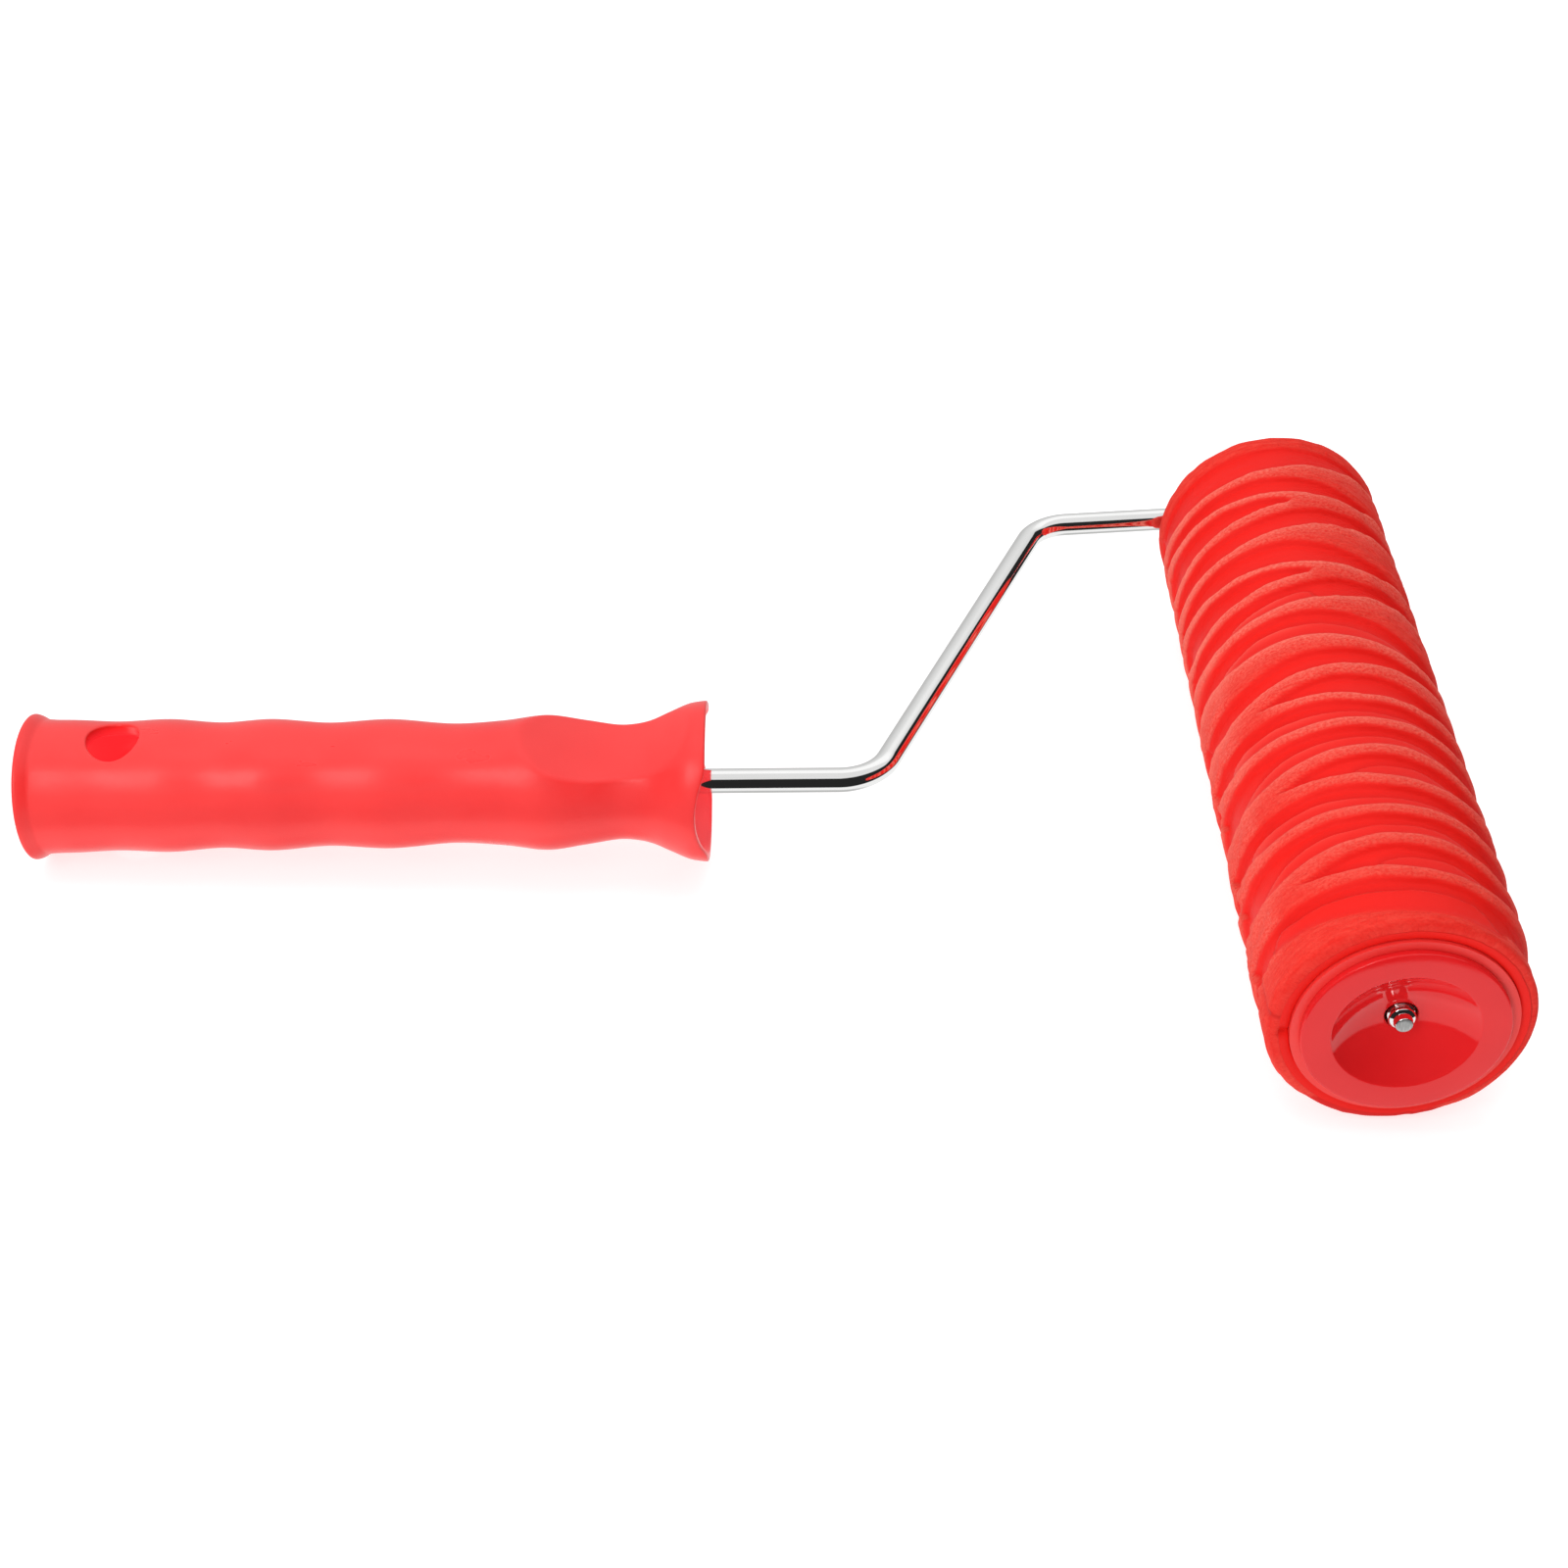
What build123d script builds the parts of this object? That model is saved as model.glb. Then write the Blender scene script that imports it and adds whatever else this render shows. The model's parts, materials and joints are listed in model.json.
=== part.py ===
from build123d import *

import os
from math import cos, radians, sin, tan

# A textured pattern roller: a moulded handle, a bent wire frame, and a rubber sleeve that spins
# on the wire. Millimetres. The origin is the centre of the pole socket's mouth, at the butt of the
# handle. +X runs along the handle towards the roller, the roller's axis is parallel to Y, and +Z
# stands square to the plane in which the wire is bent.

os.makedirs("parts", exist_ok=True)

# Handle
HANDLE_LENGTH = 148.4
BUTT_RIM_R = 16.0
BUTT_RIM_ROUND = 0.7
BUTT_RIM_WIDTH = 2.2
GRIP_START = (3.4, 14.9)  # where the grip's waves begin, behind the rim of the butt
FRONT_RIM_R = 17.7
FRONT_RIM_WALL = 1.8
GRIP_TWIST = 5.6  # the hang hole and the thumb rests lean this many degrees about the handle's axis
MOUTH_TWIST = -6.0  # the two notches in the front rim lean the other way
NOTCH_DEPTH = 2.3
NOTCH_R = 25.0

# Pole socket and hang hole
SOCKET_R = 11.5
SOCKET_DEPTH = 86.0
SOCKET_LEAD_IN = 0.4
HANG_HOLE_X = 20.2
HANG_HOLE_R = 5.7

# Solid core in which the wire is held
CORE_FRONT_X = 100.0
HOLLOW_R = 8.0
BOSS_R = 5.2
BOSS_END_X = 131.0
RIB_END_X = 126.0
RIB_THICKNESS = 1.6
JOIN = 0.3  # how far ribs run into the walls that hold them

# Thumb rests: each is barrelled across the handle by this much below the handle's axis
THUMB_BARREL_AXIS = 40.0
THUMB_REST_START = (105.0, 15.1)
THUMB_REST_END = (146.5, 18.4)

# Wire frame
WIRE_R = 2.75
WIRE_START_X = 90.0
FIRST_BEND_X = 184.9
SECOND_BEND = (227.7, 103.4)
RUN_TO_ROLLER_ANGLE = 4.8  # degrees by which the last run leans away from the roller's end
BEND_R = 12.0
SPINDLE_BEND_R = 8.0
EAR_LENGTH = 6.0
EAR_WIDTH = 7.6
EAR_THICKNESS = 3.4
EAR_START_X = 91.5
EAR_CORNER_R = 1.0

# Roller
ROLLER_X = 285.0
ROLLER_Y = 11.8  # middle of the sleeve's length
SLEEVE_LENGTH = 180.0
SLEEVE_R = 27.0
SLEEVE_GROOVE_R = 24.9
SLEEVE_END_BAND = 6.0
SLEEVE_EDGE_ROUND = 1.5
RIDGE_COUNT = 17
TUBE_R = 22.0
TUBE_BORE_R = 18.6
TUBE_NEAR_PROUD = 0.7

# End caps, measured inwards from the flange's outer face
CAP_FLANGE_R = 20.2
CAP_FLANGE_THICKNESS = 1.6
CAP_SPIGOT_DEPTH = 14.0
CAP_WALL = 1.6
CAP_EDGE_CHAMFER = 0.5
SPIGOT_INNER_R = TUBE_BORE_R - CAP_WALL
DISH_BACK_START = 2.0
DISH_R = 14.4
DISH_DEPTH = 5.1
DISH_MID = (8.8, 3.6)
DISH_BACK_MID = (11.8, 5.0)
DISH_HOLE_R = 3.25
POCKET_R = 4.2
POCKET_END = 9.2
HUB_R = 6.6
HUB_START = DISH_DEPTH + CAP_WALL
HUB_END = 21.2
HUB_RIBS = 6
HUB_RIB_END = 13.0

# Spindle end, bearings, ring and washer
BEARING_R = 5.0
BEARING_CLEARANCE = 0.05
TIP_IN_FROM_FACE = 2.1
TIP_R = 1.8
TIP_LENGTH = 1.6
TIP_GROOVE_R = 2.2
TIP_GROOVE_WIDTH = 0.6
TIP_RING_WIDTH = 1.0
TIP_RING_EDGE_R = 2.4
TIP_CHAMFER = 0.2
SNAP_RING_WIRE_R = 0.6
SNAP_RING_GAP_ANGLE = 45.0
SNAP_RING_FROM_FACE = 8.2
WASHER_R = 4.8
WASHER_THICKNESS = 0.6
WASHER_HOLE_R = 2.95
WASHER_GAP = 0.05  # between the washer and the start of the spindle's bend

# Places that follow from the dimensions above
NEAR_END_Y = ROLLER_Y - SLEEVE_LENGTH / 2
FAR_END_Y = ROLLER_Y + SLEEVE_LENGTH / 2
NEAR_FACE_Y = NEAR_END_Y - TUBE_NEAR_PROUD - CAP_FLANGE_THICKNESS
FAR_FACE_Y = FAR_END_Y + CAP_FLANGE_THICKNESS
TIP_Y = NEAR_FACE_Y + TIP_IN_FROM_FACE
LAST_RUN_LENGTH = (ROLLER_X - SECOND_BEND[0]) / cos(radians(RUN_TO_ROLLER_ANGLE))
SPINDLE_BEND_Y = SECOND_BEND[1] + LAST_RUN_LENGTH * sin(radians(RUN_TO_ROLLER_ANGLE))
SPINDLE_START_Y = SPINDLE_BEND_Y - SPINDLE_BEND_R * tan(radians(90 + RUN_TO_ROLLER_ANGLE) / 2)
ROLLER_AXIS = Axis((ROLLER_X, ROLLER_Y, 0), (0, 1, 0))

# A plane through the roller's axis, whose own x is the distance out from that axis and whose own y
# is the distance along it: inwards from the near cap's face, or from the far cap's face.
NEAR_SECTION = Plane(origin=(ROLLER_X, NEAR_FACE_Y, 0), x_dir=(1, 0, 0), z_dir=(0, 0, 1))
FAR_SECTION = Plane(origin=(ROLLER_X, FAR_FACE_Y, 0), x_dir=(1, 0, 0), z_dir=(0, 0, -1))


# ---------------------------------------------------------------- wire frame
with BuildPart() as wire_frame:
    with BuildLine() as route:
        FilletPolyline(
            (WIRE_START_X, 0),
            (FIRST_BEND_X, 0),
            SECOND_BEND,
            (ROLLER_X, SPINDLE_BEND_Y),
            (ROLLER_X, TIP_Y),
            radius=[BEND_R, BEND_R, SPINDLE_BEND_R],
        )
    with BuildSketch(Plane.YZ.offset(WIRE_START_X)):
        Circle(WIRE_R)
    sweep(path=route.line)
    # ears pinched out of the wire, which stop it turning in the handle
    with BuildSketch(Plane.YZ.offset(EAR_START_X)):
        RectangleRounded(EAR_WIDTH, EAR_THICKNESS, EAR_CORNER_R)
    extrude(amount=EAR_LENGTH)
    # turned end of the spindle: a reduced tip, a rounded ring and a groove behind it
    ring_y = TIP_IN_FROM_FACE + TIP_LENGTH
    groove_y = ring_y + TIP_RING_WIDTH
    with BuildSketch(NEAR_SECTION):
        with BuildLine():
            Polyline(
                (WIRE_R + 1, TIP_IN_FROM_FACE - 1),
                (0, TIP_IN_FROM_FACE - 1),
                (0, TIP_IN_FROM_FACE),
                (TIP_R - TIP_CHAMFER, TIP_IN_FROM_FACE),
                (TIP_R, TIP_IN_FROM_FACE + TIP_CHAMFER),
                (TIP_R, ring_y),
                (TIP_RING_EDGE_R, ring_y),
            )
            ThreePointArc(
                (TIP_RING_EDGE_R, ring_y),
                (WIRE_R, ring_y + TIP_RING_WIDTH / 2),
                (TIP_RING_EDGE_R, groove_y),
            )
            Polyline(
                (TIP_RING_EDGE_R, groove_y),
                (TIP_GROOVE_R, groove_y),
                (TIP_GROOVE_R, groove_y + TIP_GROOVE_WIDTH),
                (WIRE_R + 1, groove_y + TIP_GROOVE_WIDTH),
                (WIRE_R + 1, TIP_IN_FROM_FACE - 1),
            )
        make_face()
    revolve(axis=ROLLER_AXIS, mode=Mode.SUBTRACT)
    # groove for the snap ring
    with BuildSketch(NEAR_SECTION):
        with Locations((WIRE_R, SNAP_RING_FROM_FACE)):
            Circle(SNAP_RING_WIRE_R)
    revolve(axis=ROLLER_AXIS, mode=Mode.SUBTRACT)

wire_frame.part.label = "wire_frame"
export_step(wire_frame.part, "parts/wire_frame.step")


# ---------------------------------------------------------------- handle
with BuildPart() as handle:
    with BuildSketch(Plane.XZ):
        with BuildLine():
            Polyline((0, 0), (0, BUTT_RIM_R - BUTT_RIM_ROUND))
            ThreePointArc(
                (0, BUTT_RIM_R - BUTT_RIM_ROUND),
                (0.8, BUTT_RIM_R),
                (BUTT_RIM_WIDTH, BUTT_RIM_R - BUTT_RIM_ROUND),
            )
            Line((BUTT_RIM_WIDTH, BUTT_RIM_R - BUTT_RIM_ROUND), GRIP_START)
            Spline(
                GRIP_START,
                (18.6, 14.2),
                (30.4, 14.62),
                (42.0, 13.8),
                (52.3, 14.45),
                (65.3, 13.55),
                (78.2, 14.2),
                (94.0, 13.1),
                (113.5, 14.8),
                (131.0, 12.9),
                (140.2, 15.3),
                (144.5, 17.1),
                (HANDLE_LENGTH, FRONT_RIM_R),
                tangents=[(1, 0), (1, 0.05)],
            )
            Polyline((HANDLE_LENGTH, FRONT_RIM_R), (HANDLE_LENGTH, 0), (0, 0))
        make_face()
    revolve(axis=Axis.X)

    # thumb rests above and below, each cut by a barrelled surface that dips between its two ends
    grip_plane = Plane.XZ.rotated((GRIP_TWIST, 0, 0))
    for side in (1, -1):
        rest_start = (THUMB_REST_START[0], side * THUMB_REST_START[1])
        rest_end = (THUMB_REST_END[0], side * THUMB_REST_END[1])
        with BuildSketch(grip_plane):
            with BuildLine():
                Spline(
                    rest_start,
                    (115.2, side * 11.95),
                    (124.0, side * 10.15),
                    (130.0, side * 9.82),
                    (136.0, side * 10.9),
                    (141.0, side * 14.0),
                    rest_end,
                )
                Polyline(rest_end, (rest_end[0], side * 22), (rest_start[0], side * 22), rest_start)
            make_face()
        barrel_centre = grip_plane.from_local_coords(Vector(0, -side * THUMB_BARREL_AXIS, 0))
        revolve(axis=Axis(barrel_centre, (1, 0, 0)), mode=Mode.SUBTRACT)

    # pole socket, with a lead-in at its mouth
    with BuildSketch(Plane.XZ):
        Polygon(
            (-1, 0),
            (-1, SOCKET_R + SOCKET_LEAD_IN + 1),
            (SOCKET_LEAD_IN, SOCKET_R),
            (SOCKET_DEPTH, SOCKET_R),
            (SOCKET_DEPTH, 0),
            align=None,
        )
    revolve(axis=Axis.X, mode=Mode.SUBTRACT)

    # hollow front, which opens like a funnel towards the rim
    with BuildSketch(Plane.XZ):
        with BuildLine():
            Polyline(
                (HANDLE_LENGTH + 1, 0),
                (CORE_FRONT_X, 0),
                (CORE_FRONT_X, HOLLOW_R),
                (BOSS_END_X, HOLLOW_R),
            )
            Spline(
                (BOSS_END_X, HOLLOW_R),
                (136.0, 8.9),
                (141.0, 11.9),
                (145.0, 15.0),
                (HANDLE_LENGTH, FRONT_RIM_R - FRONT_RIM_WALL),
                tangents=[(1, 0), (1, 0.1)],
            )
            Polyline(
                (HANDLE_LENGTH, FRONT_RIM_R - FRONT_RIM_WALL),
                (HANDLE_LENGTH + 1, FRONT_RIM_R - FRONT_RIM_WALL),
                (HANDLE_LENGTH + 1, 0),
            )
        make_face()
    revolve(axis=Axis.X, mode=Mode.SUBTRACT)

    # two shallow notches in the front rim
    notch_plane = Plane.XZ.rotated((MOUTH_TWIST, 0, 0))
    with BuildSketch(notch_plane):
        with Locations((HANDLE_LENGTH - NOTCH_DEPTH + NOTCH_R, 0)):
            Circle(NOTCH_R)
    extrude(amount=FRONT_RIM_R + 1, both=True, mode=Mode.SUBTRACT)

    # boss round the wire, held to the wall by four ribs
    with BuildSketch(Plane.YZ.offset(CORE_FRONT_X)):
        Circle(BOSS_R)
    extrude(amount=BOSS_END_X - CORE_FRONT_X)
    with BuildSketch(Plane.YZ.offset(CORE_FRONT_X)):
        Rectangle(2 * (HOLLOW_R + JOIN), RIB_THICKNESS)
        Rectangle(RIB_THICKNESS, 2 * (HOLLOW_R + JOIN))
    extrude(amount=RIB_END_X - CORE_FRONT_X)

    # hang hole through both walls of the socket
    with BuildSketch(Plane.XY.rotated((GRIP_TWIST, 0, 0))):
        with Locations((HANG_HOLE_X, 0)):
            Circle(HANG_HOLE_R)
    extrude(amount=BUTT_RIM_R + 1, both=True, mode=Mode.SUBTRACT)

    # seat of the wire, ears included
    add(wire_frame.part, mode=Mode.SUBTRACT)

handle.part.label = "handle"
export_step(handle.part, "parts/handle.step")


# ---------------------------------------------------------------- core tube and rubber sleeve
with BuildPart() as core_tube:
    with BuildSketch(Plane(origin=(ROLLER_X, NEAR_END_Y - TUBE_NEAR_PROUD, 0), z_dir=(0, 1, 0))):
        Circle(TUBE_R)
        Circle(TUBE_BORE_R, mode=Mode.SUBTRACT)
    extrude(amount=SLEEVE_LENGTH + TUBE_NEAR_PROUD)

core_tube.part.label = "core_tube"
export_step(core_tube.part, "parts/core_tube.step")

with BuildPart() as pattern_sleeve:
    near_end = NEAR_END_Y - NEAR_FACE_Y
    far_end = near_end + SLEEVE_LENGTH
    first_ridge = near_end + SLEEVE_END_BAND
    ridge_pitch = (far_end - first_ridge) / RIDGE_COUNT
    with BuildSketch(NEAR_SECTION):
        with BuildLine():
            Polyline(
                (SLEEVE_R - SLEEVE_EDGE_ROUND, near_end),
                (TUBE_R, near_end),
                (TUBE_R, far_end),
                (SLEEVE_GROOVE_R, far_end),
            )
            for ridge in range(RIDGE_COUNT):
                start = first_ridge + ridge * ridge_pitch
                ThreePointArc(
                    (SLEEVE_GROOVE_R, start),
                    (SLEEVE_R, start + ridge_pitch / 2),
                    (SLEEVE_GROOVE_R, start + ridge_pitch),
                )
            Polyline(
                (SLEEVE_GROOVE_R, first_ridge),
                (SLEEVE_R, first_ridge - SLEEVE_EDGE_ROUND),
                (SLEEVE_R, near_end + SLEEVE_EDGE_ROUND),
            )
            RadiusArc(
                (SLEEVE_R, near_end + SLEEVE_EDGE_ROUND),
                (SLEEVE_R - SLEEVE_EDGE_ROUND, near_end),
                SLEEVE_EDGE_ROUND,
            )
        make_face()
    revolve(axis=ROLLER_AXIS)

pattern_sleeve.part.label = "pattern_sleeve"
export_step(pattern_sleeve.part, "parts/pattern_sleeve.step")


# ---------------------------------------------------------------- end caps and their bearings
# The two caps are the same moulding, and so are the two bearings pressed into their hubs.
for end, section in (("near", NEAR_SECTION), ("far", FAR_SECTION)):
    with BuildPart() as end_cap:
        with BuildSketch(section):
            with BuildLine():
                Polyline(
                    (DISH_R, 0),
                    (CAP_FLANGE_R - CAP_EDGE_CHAMFER, 0),
                    (CAP_FLANGE_R, CAP_EDGE_CHAMFER),
                    (CAP_FLANGE_R, CAP_FLANGE_THICKNESS),
                    (TUBE_BORE_R, CAP_FLANGE_THICKNESS),
                    (TUBE_BORE_R, CAP_SPIGOT_DEPTH),
                    (SPIGOT_INNER_R, CAP_SPIGOT_DEPTH),
                    (SPIGOT_INNER_R, DISH_BACK_START),
                )
                ThreePointArc(
                    (SPIGOT_INNER_R, DISH_BACK_START),
                    DISH_BACK_MID,
                    (HUB_R, HUB_START),
                )
                Polyline(
                    (HUB_R, HUB_START),
                    (HUB_R, HUB_END),
                    (BEARING_R, HUB_END),
                    (BEARING_R, POCKET_END),
                    (POCKET_R, POCKET_END),
                    (POCKET_R, HUB_START),
                    (DISH_HOLE_R, HUB_START),
                    (DISH_HOLE_R, DISH_DEPTH),
                )
                ThreePointArc((DISH_HOLE_R, DISH_DEPTH), DISH_MID, (DISH_R, 0))
            make_face()
        revolve(axis=ROLLER_AXIS)
        # stiffening ribs between the hub and the spigot, hidden inside the tube
        rib_length = SPIGOT_INNER_R - HUB_R + 2 * JOIN
        rib_start = section.from_local_coords(Vector(0, HUB_RIB_END, 0))
        with BuildSketch(Plane(rib_start, z_dir=-section.y_dir)):
            with PolarLocations((HUB_R + SPIGOT_INNER_R) / 2, HUB_RIBS):
                Rectangle(rib_length, RIB_THICKNESS)
        extrude(amount=HUB_RIB_END - HUB_START)
    end_cap.part.label = end + "_end_cap"
    export_step(end_cap.part, "parts/" + end_cap.part.label + ".step")

    with BuildPart() as bearing:
        bearing_start = section.from_local_coords(Vector(0, POCKET_END, 0))
        with BuildSketch(Plane(bearing_start, z_dir=section.y_dir)):
            Circle(BEARING_R)
            Circle(WIRE_R + BEARING_CLEARANCE, mode=Mode.SUBTRACT)
        extrude(amount=HUB_END - POCKET_END)
    bearing.part.label = end + "_bearing"
    export_step(bearing.part, "parts/" + bearing.part.label + ".step")


# ---------------------------------------------------------------- snap ring and thrust washer
with BuildPart() as snap_ring:
    with BuildSketch(NEAR_SECTION):
        with Locations((WIRE_R, SNAP_RING_FROM_FACE)):
            Circle(SNAP_RING_WIRE_R)
    revolve(axis=ROLLER_AXIS, revolution_arc=360 - SNAP_RING_GAP_ANGLE)

snap_ring.part.label = "snap_ring"
export_step(snap_ring.part, "parts/snap_ring.step")

with BuildPart() as thrust_washer:
    washer_y = SPINDLE_START_Y - WASHER_GAP - WASHER_THICKNESS
    with BuildSketch(Plane(origin=(ROLLER_X, washer_y, 0), z_dir=(0, 1, 0))):
        Circle(WASHER_R)
        Circle(WASHER_HOLE_R, mode=Mode.SUBTRACT)
    extrude(amount=WASHER_THICKNESS)

thrust_washer.part.label = "thrust_washer"
export_step(thrust_washer.part, "parts/thrust_washer.step")
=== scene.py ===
"""The looks of a textured pattern roller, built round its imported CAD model.

Every piece is in metres, in the CAD model's frame: +X from the butt of the handle towards the
roller, the roller's axis parallel to Y, +Z square to the plane of the bent wire. Shapes are worked
out in millimetres and scaled once, when their mesh is made.
"""

import json
import math

import bmesh
import bpy
import numpy as np
from mathutils import Matrix, Vector


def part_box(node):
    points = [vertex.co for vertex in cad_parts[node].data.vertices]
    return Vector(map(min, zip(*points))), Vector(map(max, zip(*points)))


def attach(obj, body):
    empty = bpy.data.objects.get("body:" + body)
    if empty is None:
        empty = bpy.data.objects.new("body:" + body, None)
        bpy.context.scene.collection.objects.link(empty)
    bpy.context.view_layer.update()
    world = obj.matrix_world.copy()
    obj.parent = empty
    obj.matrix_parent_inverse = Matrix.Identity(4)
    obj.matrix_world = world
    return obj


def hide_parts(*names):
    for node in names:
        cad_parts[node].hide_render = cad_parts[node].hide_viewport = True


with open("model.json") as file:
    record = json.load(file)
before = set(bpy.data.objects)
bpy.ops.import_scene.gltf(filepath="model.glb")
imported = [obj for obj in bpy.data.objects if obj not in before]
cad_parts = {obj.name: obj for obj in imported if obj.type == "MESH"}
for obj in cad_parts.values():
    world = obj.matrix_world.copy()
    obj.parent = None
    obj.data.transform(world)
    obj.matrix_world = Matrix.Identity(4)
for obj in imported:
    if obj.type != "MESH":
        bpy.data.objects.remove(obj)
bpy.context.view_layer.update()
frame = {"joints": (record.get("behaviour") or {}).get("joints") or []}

MM = 0.001
SEED = 7


def node_box(node):
    """The low and the high corner of a CAD node's box, in millimetres."""
    return [np.array(corner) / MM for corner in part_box(node)]


# Places and sizes that the frame gives, in millimetres
AXLE = np.array(frame["joints"][0]["pos_m"]) / MM
sleeve_low, sleeve_high = node_box("pattern_sleeve")
cap_low, cap_high = node_box("near_end_cap")
tube_low, tube_high = node_box("core_tube")
handle_low, handle_high = node_box("handle")
wire_low, wire_high = node_box("wire_frame")
NEAR_FACE_Y = cap_low[1]
FAR_FACE_Y = node_box("far_end_cap")[1][1]

SLEEVE_R = (sleeve_high[2] - sleeve_low[2]) / 2
SLEEVE_LENGTH = sleeve_high[1] - sleeve_low[1]
TUBE_R = (tube_high[2] - tube_low[2]) / 2
CAP_R = (cap_high[2] - cap_low[2]) / 2
HANDLE_LENGTH = handle_high[0] - handle_low[0]
FRONT_RIM_R = (handle_high[2] - handle_low[2]) / 2
WIRE_R = (wire_high[2] - wire_low[2]) / 2


# ---------------------------------------------------------------- mesh helpers
def smooth_curve(points, at):
    """Values at `at` of a smooth curve through a few (position, value) points."""
    x, y = np.array(points, float).T
    slope = np.gradient(y, x)
    at = np.clip(at, x[0], x[-1])
    i = np.clip(np.searchsorted(x, at) - 1, 0, len(x) - 2)
    step = x[i + 1] - x[i]
    t = (at - x[i]) / step
    return (
        (2 * t**3 - 3 * t**2 + 1) * y[i]
        + (t**3 - 2 * t**2 + t) * step * slope[i]
        + (3 * t**2 - 2 * t**3) * y[i + 1]
        + (t**3 - t**2) * step * slope[i + 1]
    )


def smoothstep(low, high, value):
    t = np.clip((value - low) / (high - low), 0, 1)
    return t * t * (3 - 2 * t)


def soft_min(a, b, width):
    """The smaller of a and b, rounded over where they cross."""
    h = np.clip(0.5 + 0.5 * (b - a) / width, 0, 1)
    return b + (a - b) * h - width * h * (1 - h)


def strip_faces(lower, upper, closed=True):
    """Quads between two rows of vertex numbers."""
    n = len(lower)
    last = n if closed else n - 1
    return [(lower[j], lower[(j + 1) % n], upper[(j + 1) % n], upper[j]) for j in range(last)]


def make_piece(name, points, faces, body, replaced, material, attributes=None):
    """A smooth-shaded mesh from points in millimetres, riding on a body in a CAD node's place."""
    mesh = bpy.data.meshes.new(name)
    mesh.from_pydata((np.asarray(points) * MM).tolist(), [], faces)
    mesh.validate()
    for label, values in (attributes or {}).items():
        layer = mesh.attributes.new(label, "FLOAT", "POINT")
        layer.data.foreach_set("value", np.asarray(values, np.float32))
    mesh.shade_smooth()
    mesh.materials.append(material)
    piece = bpy.data.objects.new(name, mesh)
    bpy.context.scene.collection.objects.link(piece)
    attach(piece, body)
    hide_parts(*replaced)
    return piece


def turned(profile, segments):
    """Points and faces of a closed ring turned from (radius, along) pairs about the Y axis."""
    turn = np.linspace(0, 2 * math.pi, segments, endpoint=False)
    rows = [
        np.column_stack([r * np.cos(turn), np.full(segments, y), r * np.sin(turn)])
        for r, y in profile
    ]
    faces = []
    for i in range(len(rows)):
        k = (i + 1) % len(rows)
        here = list(range(i * segments, (i + 1) * segments))
        there = list(range(k * segments, (k + 1) * segments))
        faces += strip_faces(here, there)
    return np.vstack(rows), faces


def round_corner(before, corner, after, radius, steps=4):
    """A few points that round a profile's corner off."""
    before, corner, after = (np.array(p, float) for p in (before, corner, after))
    a = (before - corner) / np.linalg.norm(before - corner)
    b = (after - corner) / np.linalg.norm(after - corner)
    half = math.acos(float(np.clip(a @ b, -1, 1))) / 2
    reach = radius / math.tan(half)
    start, end = corner + a * reach, corner + b * reach
    t = np.linspace(0, 1, steps + 1)[:, None]
    return [tuple(p) for p in (1 - t) ** 2 * start + 2 * t * (1 - t) * corner + t**2 * end]


def softened(profile, radii):
    """A closed (radius, along) profile with its corners rounded: one radius for each point."""
    made = []
    for i, (point, radius) in enumerate(zip(profile, radii)):
        if radius:
            made += round_corner(profile[i - 1], point, profile[(i + 1) % len(profile)], radius)
        else:
            made.append(point)
    return made


# ---------------------------------------------------------------- noise on the sleeve's surface
def wrapped_noise(turn, along, cells_round, cell_along, seed):
    """Smooth noise from 0 to 1 over turn (0 to 1, which wraps) and along (mm)."""
    rng = np.random.default_rng(SEED + seed)
    rows = int(np.ptp(along) / cell_along) + 3
    lattice = rng.random((rows, cells_round))
    u = turn * cells_round
    v = (along - along.min()) / cell_along
    i, j = np.floor(v).astype(int), np.floor(u).astype(int)
    fv, fu = v - i, u - j
    fv, fu = fv * fv * (3 - 2 * fv), fu * fu * (3 - 2 * fu)
    j0, j1 = j % cells_round, (j + 1) % cells_round
    low = lattice[i, j0] * (1 - fu) + lattice[i, j1] * fu
    high = lattice[i + 1, j0] * (1 - fu) + lattice[i + 1, j1] * fu
    return low * (1 - fv) + high * fv


# ---------------------------------------------------------------- sleeve: carved wood-grain relief
# The relief is a set of hollows with rough ridges left between them. A hollow falls sharply behind
# the ridge on its near side, and climbs a bank at its far side to the next ridge. Both sides are
# curves of (angle in degrees, place): angle 0 faces +X, 90 faces +Z, and the places are millimetres
# along the roller, from the middle of the sleeve or from the tip of a lens-shaped hollow.
PARTING = 182  # the sleeve's moulded parting line
LENS_TIPS = (-70.2, -41.7, -13.8)
LENS_NEAR = [
    (-80, 0), (-50, -2), (0, -3.8), (40, -4.2), (60, -4.8), (75, -4.5), (90, -3.8), (100, -3.1),
    (110, -2.6), (120, -1.7), (130, -0.7), (137, 0),
]
LENS_LEDGE = [
    (46, -4.4), (55, -4), (62, -2.9), (70, -1.7), (80, -1.3), (90, -1.2), (96, -1.8), (103, -2.9),
]
LENS_FOOT = [
    (-80, 0), (-50, 1.2), (0, 2), (45, 0.6), (60, 1.8), (75, 2.7), (90, 3.3), (100, 3), (110, 2.3),
    (120, 1.4), (130, 0.5), (137, 0),
]
SPAN_NEAR = [
    (-178, 4.5), (-120, 4), (-80, 5), (0, 4.4), (40, 2.9), (55, 4.1), (65, 5.3), (80, 6), (95, 6.1),
    (110, 5.7), (130, 4.8), (150, 4.1), (163, 4), (182, 4.6),
]
SPAN_LEDGE = [
    (50, 3.5), (58, 5.7), (65, 7.3), (75, 8.2), (90, 8.5), (110, 8.6), (125, 8.5), (140, 7.5),
    (150, 6.2), (157, 4.9), (163, 4),
]
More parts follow.
